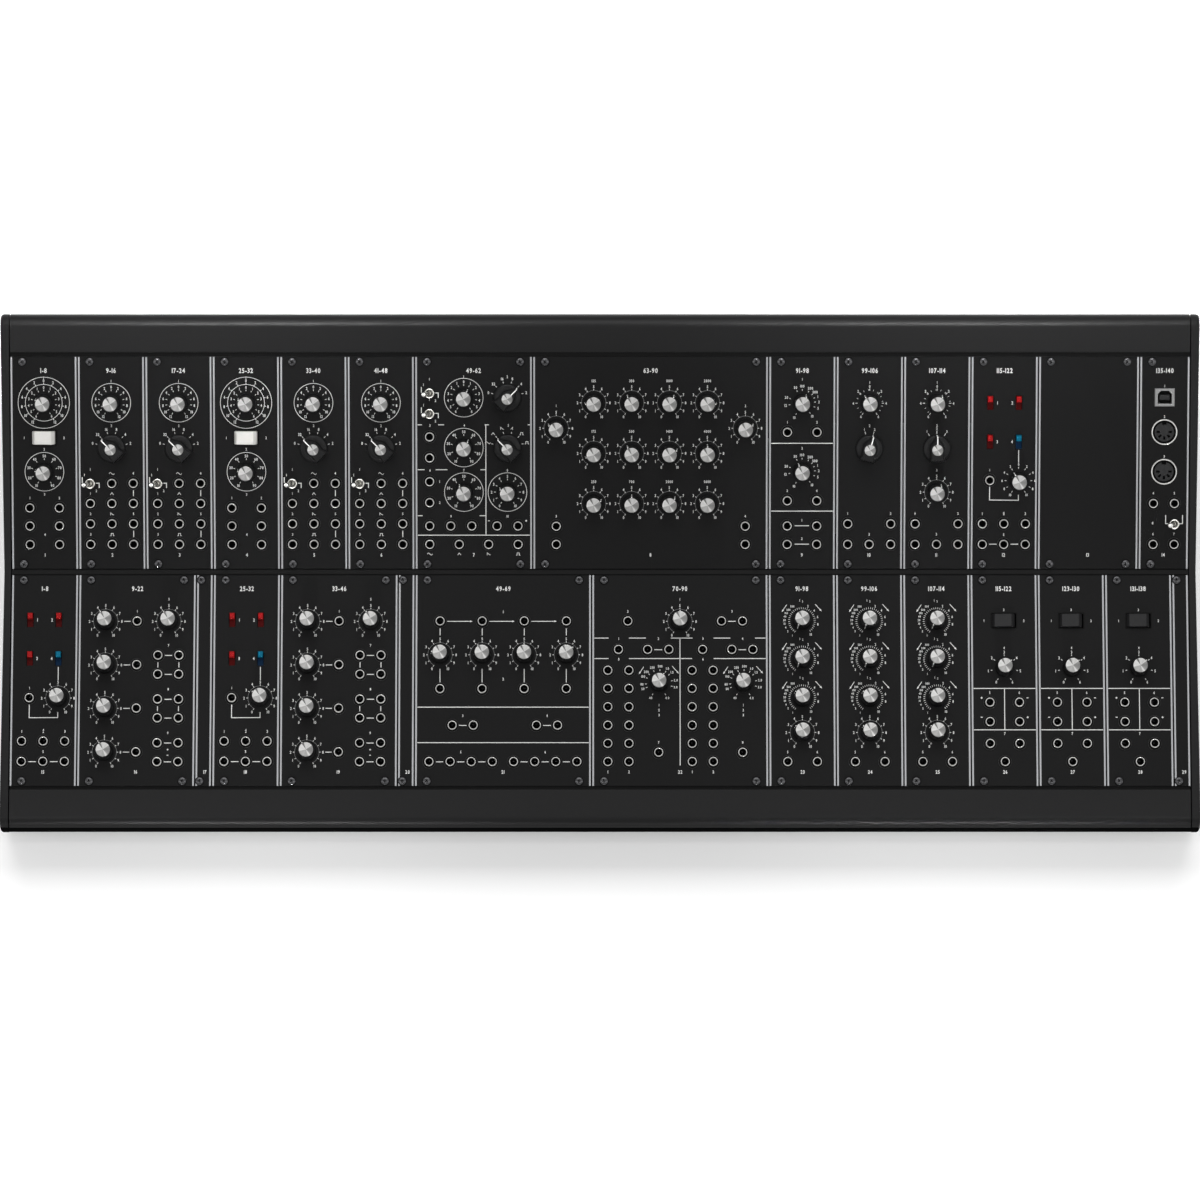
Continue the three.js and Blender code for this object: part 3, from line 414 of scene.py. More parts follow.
# Colour, roughness, metallic, specular level, grain and bump of each surface
LOOKS = {
    "case_paint": ((0.0061, 0.0061, 0.0063), 0.34, 0, 0.115, 0.25, 0.2),
    "cheek_paint": ((0.0095, 0.0095, 0.0097), 0.4, 0, 0.08, 0.25, 0.2),
    # Matte black without shine, on strips along the bottom of the front lip: painted shade where the lip
    # falls into shadow
    "hem_painted_shade": ((0.0035, 0.0035, 0.0035), 0.8, 0, 0, 0.3, 0.3),
    # Darker than the case: the rails' own black, with painted shade for the grooves between the panels and
    # trims
    "rail_paint_and_shade": ((0.0035, 0.0035, 0.0035), 0.6, 0, 0.1, 0.3),
    "panel_paint": ((0.0058, 0.0058, 0.0059), 0.55, 0, 0.06, 0.3, 0.3),
    "sheet_paint": ((0.012, 0.012, 0.012), 0.6, 0, 0.2, 0.35, 0.5),
    "knob_plastic": ((0.004, 0.004, 0.0042), 0.36, 0, 0.13, 0.2, 0.1),
    "knob_cap": ((0.43, 0.427, 0.419), 0.42, 0.5, 0.5, 0.08, 0.1),
    "ring_nickel": ((0.52, 0.515, 0.5), 0.35, 0.4, 0.5, 0.06),
    "switch_nickel": ((0.6, 0.594, 0.57), 0.24, 1, 0.5, 0.06),
    "socket_nickel": ((0.17, 0.17, 0.17), 0.45, 0.8, 0.5, 0.1, 0.1),
    "screw_steel": ((0.05, 0.05, 0.052), 0.24, 1, 0.5, 0.2),
    "silver_print": ((0.25, 0.254, 0.262), 0.4, 0.6, 0.5, 0.08),
    "white_print": ((0.6, 0.6, 0.59), 0.5, 0, 0.2, 0.06),
    "faint_print": ((0.2, 0.2, 0.2), 0.5, 0, 0.2, 0.06),
    "pointer_white": ((0.85, 0.85, 0.83), 0.4, 0, 0.5, 0.04),
    "rocker_white": ((0.56, 0.555, 0.53), 0.35, 0, 0.5, 0.04, 0.05),
    "rocker_black": ((0.011, 0.011, 0.0115), 0.4, 0, 0.15, 0.2, 0.1),
    "slide_red": ((0.26, 0.006, 0.007), 0.4, 0, 0.08, 0.1),
    "slide_blue": ((0.001, 0.105, 0.18), 0.4, 0, 0.08, 0.1),
    # Darker copies of the slide colours, for the plates under the tabs: painted shade in the slots
    "slide_red_painted_shade": ((0.045, 0.001, 0.001), 0.5, 0, 0.05, 0.2),
    "slide_blue_painted_shade": ((0.001, 0.012, 0.035), 0.5, 0, 0.05, 0.2),
    "socket_plastic": ((0.003, 0.003, 0.003), 0.5, 0, 0.06, 0.3),
    "socket_insert": ((0.02, 0.02, 0.0205), 0.45, 0, 0.1, 0.2, 0.1),
    "washer_black": ((0.002, 0.002, 0.002), 0.45, 0, 0.05, 0.2),
    # A lighter grey on the rims of the jack washers: a painted highlight
    "washer_painted_highlight": ((0.03, 0.03, 0.03), 0.4, 0, 0.2, 0.2),
    "foot_rubber": ((0.012, 0.012, 0.012), 0.85, 0, 0.5, 0.3, 0.6),
    "circuit_board": ((0.008, 0.05, 0.025), 0.4, 0, 0.5, 0.3),
    "supply_metal": ((0.42, 0.42, 0.43), 0.35, 1, 0.5, 0.15),
}
# What some of them have beyond that
SPECIAL_LOOKS = {
    "case_paint": {"uneven": 0.01},
    "panel_paint": {"grain_scale": 1400.0},
    "knob_cap": {"grain_scale": 2400.0, "shaded": True},
    "circuit_board": {"coat": 0.4},
    "supply_metal": {"stretch": (1.0, 30.0, 1.0)},
}
materials = {name: surface(name, *look, **SPECIAL_LOOKS.get(name, {})) for name, look in LOOKS.items()}


# Unit shapes of the controls and small parts, each in its own place on a panel
ROUND = 48
FINE = 32

KNOB_SHAFT = [(0, -8.0), (3.0, -8.0), (3.0, 0.6)]
KNOB_FLANK = [(5.58, 1.2), (5.3, 2.2), (5.12, 4.0), (5.02, 7.0)]
KNOB_RIM = (4.97, 10.8)
KNOB_BODY = lathe([*KNOB_SHAFT, (5.35, 0.6), (5.55, 0.8), *KNOB_FLANK, KNOB_RIM, (4.86, 11.35),
                   (4.62, 11.72), (4.45, 11.8), (4.4, 11.55), (0, 11.55)], ROUND)
KNOB_CAP = lathe([(0, 11.5), (4.28, 11.5), (4.33, 11.6), (4.33, 12.3), (4.27, 12.47), (4.12, 12.55),
                  (3.6, 12.52), (3.0, 12.5), (2.2, 12.5), (1.2, 12.49), (0, 12.49)], 72)
KNOB_DOT = lathe([(0, -0.2), (0.34, -0.2), (0.34, 0.06), (0.24, 0.14), (0, 0.16)], 16)
DOT_PLACE = Matrix.Translation((0, 4.86, 11.6)) @ Matrix.Rotation(math.radians(-38), 4, "X")

# Painted reflection on a spun cap, as a brightness by direction, clockwise from up: the bright and dark
# rays that its grinding throws back from the lamps, painted into its colour
CAP_PAINTED_REFLECTION = [(-180, 0.48), (-150, 0.6), (-110, 0.5), (-98, 1.0), (-70, 0.86), (-40, 1.0), (-34, 0.24),
              (-22, 0.14), (-15, 0.74), (10, 0.84), (40, 0.68), (50, 1.0), (58, 0.38), (85, 0.26),
              (115, 0.32), (135, 0.44), (148, 1.0), (156, 0.9), (166, 0.5), (180, 0.48)]


def cap_shades(shape):
    """The painted reflection on each face of a cap, as a brightness."""
    points, faces = shape
    middles = [points[list(face)].mean(axis=0) for face in faces]
    return [float(np.interp(math.degrees(math.atan2(x, y)), *zip(*CAP_PAINTED_REFLECTION))) for x, y, _ in middles]


def flank_line(flank, width):
    """A pointer line that runs down the +Y flank of a turned body."""
    half, rings = width / 2, []
    for radius, height in flank:
        depth = math.sqrt(radius * radius - half * half)
        inner, outer = (depth - 0.1, height - 0.05), (depth + 0.06, height + 0.03)
        rings.append([(-half, *inner), (half, *inner), (half, *outer), (-half, *outer)])
    return stack(rings)


KNOB_MARK = merged([under(KNOB_DOT, DOT_PLACE), flank_line([*KNOB_FLANK, KNOB_RIM], 0.36)])

SKIRT = lathe([*KNOB_SHAFT, (8.2, 0.6), (8.4, 0.8), (8.4, 1.3), (8.1, 1.9), (7.4, 2.3), (5.0, 2.6),
               (0, 2.6)], 64)
# The right half of the grip seen from above: a narrow nose, round cheeks beside the cap, a flared tail
GRIP_SIDE = [(0.55, 7.9), (1.25, 7.55), (1.9, 5.9), (2.7, 4.7), (3.75, 3.3), (4.45, 1.7), (4.6, 0.0),
             (4.4, -1.6), (4.15, -3.0), (4.2, -4.4), (4.6, -5.8), (5.0, -7.0), (4.7, -7.5), (2.6, -7.95),
             (0.0, -8.1)]
GRIP_OUTLINE = [(-x, y) for x, y in GRIP_SIDE[:-1]] + GRIP_SIDE[::-1]
SELECTOR_BODY = merged([SKIRT, prism(GRIP_OUTLINE, 2.0, 11.4, chamfer=0.7, taper=0.35)])
SELECTOR_CAP = lathe([(0, 11.2), (3.26, 11.2), (3.3, 11.3), (3.3, 11.95), (3.24, 12.1), (3.1, 12.15),
                      (2.4, 12.14), (0, 12.13)], 56)
SELECTOR_LINE = merged([block(-0.3, 0.3, *sides) for sides in (
    (3.3, 7.3, 11.2, 11.47), (7.25, 7.95, 3.0, 10.9), (7.7, 8.3, 1.6, 2.1))])

JACK_WASHER = lathe([(2.2, -0.1), (3.85, -0.1), (3.92, 0.1), (3.85, 0.3), (3.7, 0.38), (2.2, 0.38)],
                    FINE, closed=True)
# A thin rim round each jack washer, coloured as a painted highlight
JACK_HIGHLIGHT_RIM = lathe([(3.8, 0.1), (3.98, 0.1), (3.98, 0.34), (3.92, 0.42), (3.84, 0.42), (3.8, 0.36)],
                  FINE, closed=True)
JACK_NUT = lathe([(2.16, 0.0), (2.66, 0.0), (2.7, 0.3), (2.7, 1.6), (2.64, 1.85), (2.55, 1.97),
                  (2.45, 2.0), (2.33, 1.96), (2.22, 1.82), (2.16, 1.5)], FINE, closed=True)
JACK_WELL = lathe([(0, -9.6), (2.6, -9.6), (2.6, 0.9), (2.08, 1.5), (1.85, 0.9), (1.75, 0.2),
                   (1.75, -9.0), (0, -9.0)], 20)
JACK_SPRING = block(-0.5, 0.5, 1.0, 1.7, -8.6, -6.4)

TOGGLE_NUT = lathe([(1.95, 0.0), (3.05, 0.0), (3.08, 0.25), (3.08, 1.1), (2.98, 1.3), (2.95, 1.4),
                    (2.95, 3.6), (2.85, 3.9), (2.65, 4.0), (2.45, 3.9), (2.3, 3.5), (2.1, 3.0),
                    (1.95, 2.9)], FINE, closed=True)
TOGGLE_WELL = lathe([(0, -4.3), (2.7, -4.3), (2.7, 0.4), (2.36, 0.4), (2.36, -4.0), (0, -4.0)], 20)
LEVER = lathe([(0, -1.7), (0.95, -1.6), (1.5, -1.0), (1.7, 0.0), (1.5, 1.0), (1.0, 1.6), (0.95, 2.4),
               (1.1, 6.0), (1.4, 9.4), (1.55, 10.6), (1.5, 11.3), (1.15, 11.85), (0.6, 12.0),
               (0, 12.0)], 28)
# How levers and rockers lean in the photograph, in degrees, and the height of their pivots
LEVER_LEAN = -16.0
LEVER_PIVOT = 1.0

SLIDE_TAB = merged([prism(rectangle(0, 2.2, 1.6, 1.85), -3.0, 2.8, chamfer=0.25, taper=0.12),
                    block(-1.65, 1.65, -4.3, 4.3, -3.4, -2.35)])
# The plate under a slide's tab, seen down its slot, takes a darker copy of the slide colour as painted
# shade
SLIDE_FLOOR = block(-1.72, 1.72, -4.3, 0.4, -1.2, -0.7)


def rocker(length, width, height, depth, pivot, chamfer):
    """A rocker cap over its pivot: a bowed top that falls to both ends."""
    half = length / 2
    bow = [(half, 0.0), (half - 0.15, 0.3), (half - 1.9, 0.97), (half * 0.3, 0.86), (0, 0.84)]
    right = [(half, pivot - depth), *[(x, pivot + height * share) for x, share in bow]]
    section = [(-half, pivot - depth), *right, *[(-x, z) for x, z in right[-2:0:-1]]]
    side = width / 2
    levels = [(side, chamfer), (side - chamfer, 0), (chamfer - side, 0), (-side, chamfer)]
    return stack([[(x, y, z) for x, z in inset(section, cut)] for y, cut in levels])


ROCKER = rocker(13.8, 8.0, 3.0, 2.4, 4.0, 0.35)
ROCKER_HOLE = rectangle(0, 0, 7.35, 4.35)[::-1]
ROCKER_FRAME = pierced_plate(rectangle(0, 0, 7.9, 4.9), [ROCKER_HOLE], -0.1, 0.35, 0.15)
ROCKER_LEAN = -5.0
ROCKER_PIVOT = -4.0

SCREW_HEAD = lathe([(0, -1.0), (1.4, -1.0), (1.4, 0.05), (2.55, 0.05), (2.7, 0.2), (2.62, 0.75),
                    (2.2, 1.25), (1.5, 1.55), (1.15, 1.6)], FINE)
SCREW_TOP = 1.6


def crossed_screw(arm, reach, floor):
    """A domed screw head with a cross recess cut into it."""
    head, faces = SCREW_HEAD
    quarter, cross = [(reach, -arm), (reach, arm), (arm, arm)], []
    for _ in range(4):
        cross += quarter
        quarter = [(-y, x) for x, y in quarter]
    cross.reverse()
    rim, start, size = len(head) - FINE, len(head), len(cross)
    points = [*head, *[(x, y, z) for z in (SCREW_TOP, floor) for x, y in cross]]
    triangles = filled([[(x, y) for x, y, _ in head[rim:]], cross])
    faces = [*faces, *[tuple(rim + i for i in triangle) for triangle in triangles]]
    for i in range(size):
        j = (i + 1) % size
        faces.append((start + j, start + i, start + size + i, start + size + j))
    faces.append(tuple(reversed(range(start + size, start + 2 * size))))
    return np.array(points), faces


SCREW = crossed_screw(0.3, 1.12, 0.5)
# Black blocks in the bottom of each cross recess: painted shade inside the recess
SCREW_RECESS_SHADE = merged([block(-1.15, 1.15, -0.34, 0.34, 0.3, 0.85),
                       block(-0.34, 0.34, -1.15, 1.15, 0.3, 0.852)])


def add_screw(name, matrix):
    add(f"{name}_screws", SCREW, matrix, "screw_steel", "screw_steel")
    # The cross recess gets its painted shade
    add(f"{name}_screw_recess_shades", SCREW_RECESS_SHADE, matrix, "socket_plastic", "screw_steel")


def din_insert():
    """The insulating disc inside a round socket: a key notch on top and five slots in an arc."""
    disc = [(x, y) for x, y in circle(0, 0, 5.9, 72) if y <= 0 or abs(x) >= 1.35]
    start = next(i for i, (x, y) in enumerate(disc) if x < 0 and y > 0 and disc[i - 1][0] > 0)
    disc[start:start] = [(1.3, 5.7), (1.3, 4.4), (-1.3, 4.4), (-1.3, 5.7)]
    slots = []
    for clockwise in (-90, -134, 180, 134, 90):
        along = Vector(spot(0, 0, 1, clockwise))
        side = Vector((-along.y, along.x))
        near, far = along * 2.5, along * 4.5
        slot = [near + side * 0.55, far + side * 0.8, far + along * 0.35, far - side * 0.8,
                near - side * 0.55]
        slots.append([tuple(p) for p in slot])
    return pierced_plate(disc, slots, -3.5, -0.5, 0.1)


USB_MOUTH = [(-4.25, 2.0), (-2.4, 4.1), (2.4, 4.1), (4.25, 2.0), (4.25, -3.75), (-4.25, -3.75)]
USB_FRAME = pierced_plate(rectangle(0, 0, 6.05, 5.5), [USB_MOUTH], -6.0, 0.8, 0.35)
USB_TONGUE = block(-3.15, 3.15, -1.6, 1.6, -8.0, -0.6, 0.2)
USB_FLOOR = block(-5.9, 5.9, -5.2, 5.2, -8.6, -6.2)
DIN_RING = lathe([(7.05, -0.1), (7.75, -0.1), (7.85, 0.1), (7.8, 0.5), (7.62, 0.78), (7.4, 0.85),
                  (7.15, 0.75), (7.02, 0.4)], 64, closed=True)
DIN_WELL = lathe([(0, -4.2), (7.0, -4.2), (7.0, -3.6), (0, -3.6)], 48)

# Fixed parts of the sockets: name, shape, look and slot
FITTINGS = {
    "jacks": [("jack_nuts", JACK_NUT, "ring_nickel", "switch_nickel"),
              ("jack_washers", JACK_WASHER, "washer_black", "socket_plastic"),
              ("jack_edge_highlights", JACK_HIGHLIGHT_RIM, "washer_painted_highlight", "socket_plastic"),
              ("jack_wells", JACK_WELL, "socket_plastic", "socket_plastic"),
              ("jack_springs", JACK_SPRING, "screw_steel", "screw_steel")],
    "usb": [("usb_shell", USB_FRAME, "socket_nickel", "switch_nickel"),
            ("usb_tongue", USB_TONGUE, "socket_insert", "socket_plastic"),
            ("usb_floor", USB_FLOOR, "socket_plastic", "socket_plastic")],
    "din": [("din_rings", DIN_RING, "ring_nickel", "switch_nickel"),
            ("din_inserts", din_insert(), "socket_insert", "socket_plastic"),
            ("din_wells", DIN_WELL, "socket_plastic", "socket_plastic")],
}

# Body, cap with the painted reflection on its faces, and pointer of the controls that turn
TURNED = {
    "knobs": (KNOB_BODY, KNOB_CAP, cap_shades(KNOB_CAP), KNOB_MARK),
    "selectors": (SELECTOR_BODY, SELECTOR_CAP, cap_shades(SELECTOR_CAP), SELECTOR_LINE),
}


# Print: numerals come from the built-in font, drawn once each
GLYPH_STEPS = 2
GLYPH_WEIGHT = 0.024
glyphs = {}


def glyph(character):
    """A character as a thin solid standing at x = 0."""
    if character not in glyphs:
        curve = bpy.data.curves.new("glyph", "FONT")
        curve.body = character
        curve.resolution_u = GLYPH_STEPS
        curve.offset = GLYPH_WEIGHT
        curve.extrude = 0.5
        text = bpy.data.objects.new("glyph", curve)
        bpy.context.scene.collection.objects.link(text)
        mesh = bpy.data.meshes.new_from_object(text.evaluated_get(bpy.context.evaluated_depsgraph_get()))
        points = np.array([v.co for v in mesh.vertices], float).reshape(-1, 3)
        faces = [tuple(p.vertices) for p in mesh.polygons]
        bpy.data.objects.remove(text)
        bpy.data.curves.remove(curve)
        bpy.data.meshes.remove(mesh)
        points[:, 0] -= points[:, 0].min()
        points[:, 2] = np.where(points[:, 2] > 0, PRINT_HIGH, PRINT_LOW)
        glyphs[character] = points, faces
    return glyphs[character]


DIGIT_HEIGHT = float(np.ptp(glyph("0")[0][:, 1]))
NARROW = 0.78
LETTER_GAP = 0.16
LINE = 0.3
BAR = 0.46
ARC_STEP = 7.5
ARROW_HEAD = 1.5
ARROW_HALF_WIDTH = 0.38


def words(text, x, y, height):
    """Plain numerals centred on a point."""
    scale = height / DIGIT_HEIGHT
    shapes, pen = [], 0.0
    for character in str(text):
        points, faces = glyph(character)
        placed = points.copy()
        placed[:, 0] = placed[:, 0] * scale * NARROW + pen
        placed[:, 1] *= scale
        pen = placed[:, 0].max() + LETTER_GAP * height
        shapes.append((placed, faces))
    made, faces = merged(shapes)
    made[:, 0] += x - (pen - LETTER_GAP * height) / 2
    made[:, 1] += y - height / 2
    return made, faces


def arc(x, y, radius, width, start=0.0, end=360.0):
    whole = end - start >= 360
    steps = max(6, int((end - start) / ARC_STEP))
    angles = [start + (end - start) * i / steps for i in range(steps if whole else steps + 1)]
    return ribbon([spot(x, y, radius, a) for a in angles], width, closed=whole)


def tick(x, y, inner, outer, clockwise, width=0.36):
    return ribbon([spot(x, y, inner, clockwise), spot(x, y, outer, clockwise)], width)


def scale_marks(x, y, marks, radius, height, ticks=None):
    """Numerals round a knob, each with its tick where ticks are given."""
    shapes = []
    for clockwise, text in marks:
        shapes.append(words(text, *spot(x, y, radius, clockwise), height))
        if ticks:
            shapes.append(tick(x, y, *ticks, clockwise))
    return shapes


def both_sides(step, numbers):
    """The first number stands at the top and the others go down both sides."""
    return [(side * step * i, n) for i, n in enumerate(numbers) for side in ((-1, 1) if i else (1,))]


def arrow(path, width=0.35):
    """A line from one point to another with a pointed head at its far end."""
    tail, tip = Vector(path[0]), Vector(path[1])
    along = (tip - tail).normalized()
    side = Vector((-along.y, along.x)) * ARROW_HEAD * ARROW_HALF_WIDTH
    neck = tip - along * ARROW_HEAD
    return merged([ribbon([tuple(tail), tuple(neck)], width),
                   prism([tuple(tip), tuple(neck + side), tuple(neck - side)], PRINT_LOW, PRINT_HIGH)])


# Scales round the knobs and selectors, each a function of the place
def ring_dial(x, y):
    line = arc(x, y, 7.4, 0.16, -150, 150)
    return [(*line, "faint_print"), *scale_marks(x, y, TENTHS, 9.75, 1.75, (7.3, 8.3))]


def circle_dial(marks):
    return lambda x, y: [arc(x, y, 11.7, LINE), *scale_marks(x, y, marks, 9.6, 1.75, (7.1, 8.1))]


def plain_dial(marks, radius, height, ticks=(7.3, 8.3), fine=()):
    return lambda x, y: [*scale_marks(x, y, marks, radius, height, ticks),
                         *[tick(x, y, 7.3, 8.2, a, 0.25) for a in fine]]


def driver_dial(x, y):
    return [arc(x, y, 15.5, LINE), arc(x, y, 11.1, LINE),
            *scale_marks(x, y, both_sides(25, range(0, 13, 2)), 13.4, 1.8, (11.2, 12.1)),
            *scale_marks(x, y, both_sides(25, range(7)), 9.3, 1.7, (7.0, 7.9))]


def time_arrows(x, y):
    ends = ((13.5, -43, 13.3, -66), (13.0, 38, 13.3, 64))
    return [arrow((spot(x, y, r0, a0), spot(x, y, r1, a1))) for r0, a0, r1, a1 in ends]


def time_dial(x, y):
    marks = [(-151, "40"), (-110, "50"), (-94, "80"), (-67, "100"), (-48, "200"), (-23, "250"), (4, "500"),
             (30, "1.0"), (50, "1.5"), (80, "2.0"), (104, "3.0"), (151, "4.0")]
    return [*scale_marks(x, y, marks, 10.3, 1.55, (7.4, 8.4)), *time_arrows(x, y)]


def envelope_dial(x, y):
    left = [(-147, 1), (-126, 2), (-112, 4), (-99, 10), (-87, 20), (-75, 40), (-63, 100), (-50, 200),
            (-33, 500)]
    right = [(22, 2), (49, 4), (75, 6), (102, 8), (147, 10)]
    return [*scale_marks(x, y, left, 10.6, 1.3), *scale_marks(x, y, right, 9.8, 1.6),
            *[tick(x, y, 7.2, 8.3, a, 0.25) for a in range(-147, 148, 9)],
            words(1, *spot(x, y, 12.6, -6), 1.5), words(2, *spot(x, y, 12.0, 2), 1.3),
            *time_arrows(x, y)]


WAVES = {
    "sine": [(-1.55, -0.1), (-1.2, 0.5), (-0.85, 0.65), (-0.5, 0.45), (0.5, -0.45), (0.85, -0.65),
             (1.2, -0.5), (1.55, 0.1)],
    "triangle": [(-1.0, -0.65), (0.0, 0.65), (1.0, -0.65)],
    "saw": [(-0.9, -0.75), (-0.9, 0.75), (0.5, -0.45), (1.1, -0.45)],
    "ramp": [(-1.1, -0.45), (0.0, 0.75), (0.0, -0.75)],
    "pulse": [(-1.3, -0.7), (-0.65, -0.7), (-0.65, 0.7), (0.65, 0.7), (0.65, -0.7), (1.3, -0.7)],
}


def wave(kind, x, y):
    return ribbon([(x + a, y + b) for a, b in WAVES[kind]], 0.3)


def stepped_scale(angles, labels, tick_end, radius, height=0.0):
    """A tick for each step of a selector, with a numeral, or with a wave form where no height is given."""
    def draw(x, y):
        shapes = [tick(x, y, 8.9, tick_end, a, 0.35) for a in angles]
        for clockwise, label in zip(angles, labels):
            place = spot(x, y, radius, clockwise)
            shapes.append(words(label, *place, height) if height else wave(label, *place))
        return shapes
    return draw


TENTHS = [(30.0 * i - 150, i) for i in range(11)]
WIDTHS = [(37.5 * i - 150, 10 * i + 10) for i in range(9)]
SELECTOR_ANGLES = (-75, -45, -15, 15, 45, 75)
oscillator_dial = circle_dial(both_sides(25, range(0, 13, 2)))
width_dial = circle_dial(WIDTHS)
level_dial = circle_dial(TENTHS)
range_dial = circle_dial(both_sides(25, range(7)))
noise_dial = plain_dial([(-152, 10), (-99, 12), (-71, 20), (-24, 50), (0, 100), (29, 200), (50, 500),
                         (68, 1), (87, 2), (109, 5), (143, 10)], 10.1, 1.7, (7.3, 8.2))
cutoff_dial = plain_dial([(0, 0), (-45, 2), (45, 2), (-92, 4), (92, 4), (-148, 6), (148, 6)],
                         9.9, 1.7, (7.3, 8.6), [a for a in range(-137, 138, 11) if a % 2])
level_scale = plain_dial(both_sides(30, range(0, 11, 2)), 9.9, 1.6)
gain_dial = plain_dial([(50.0 * i - 150, i) for i in range(7)], 9.8, 1.8)
range_scale = stepped_scale(SELECTOR_ANGLES, (0, 32, 16, 8, 4, 2), 10.0, 11.8, 1.8)
wave_scale = stepped_scale(SELECTOR_ANGLES, ("sine", "triangle", "saw", "ramp", "pulse", "pulse"),
                           10.0, 12.2)
two_way_scale = stepped_scale((-15, 15), (1, 2), 10.6, 12.0, 1.6)
three_way_scale = stepped_scale((-30, 0, 30), (1, 2, 3), 10.6, 12.0, 1.6)


# Panels: places are shares of a panel's width and height from its top left corner, as in the CAD model
def grid(columns, rows):
    return [(column, row) for row in rows for column in columns]


PAIR = (0.281, 0.719)
TRIPLE = (0.181, 0.5, 0.819)
OUTER = (0.181, 0.819)
COLUMNS = (0.143, 0.381, 0.619, 0.857)
BAND_ANGLES = (-90, -30, 30, 90, -111, -30, 60, 0, 60, 0, 39, -60)

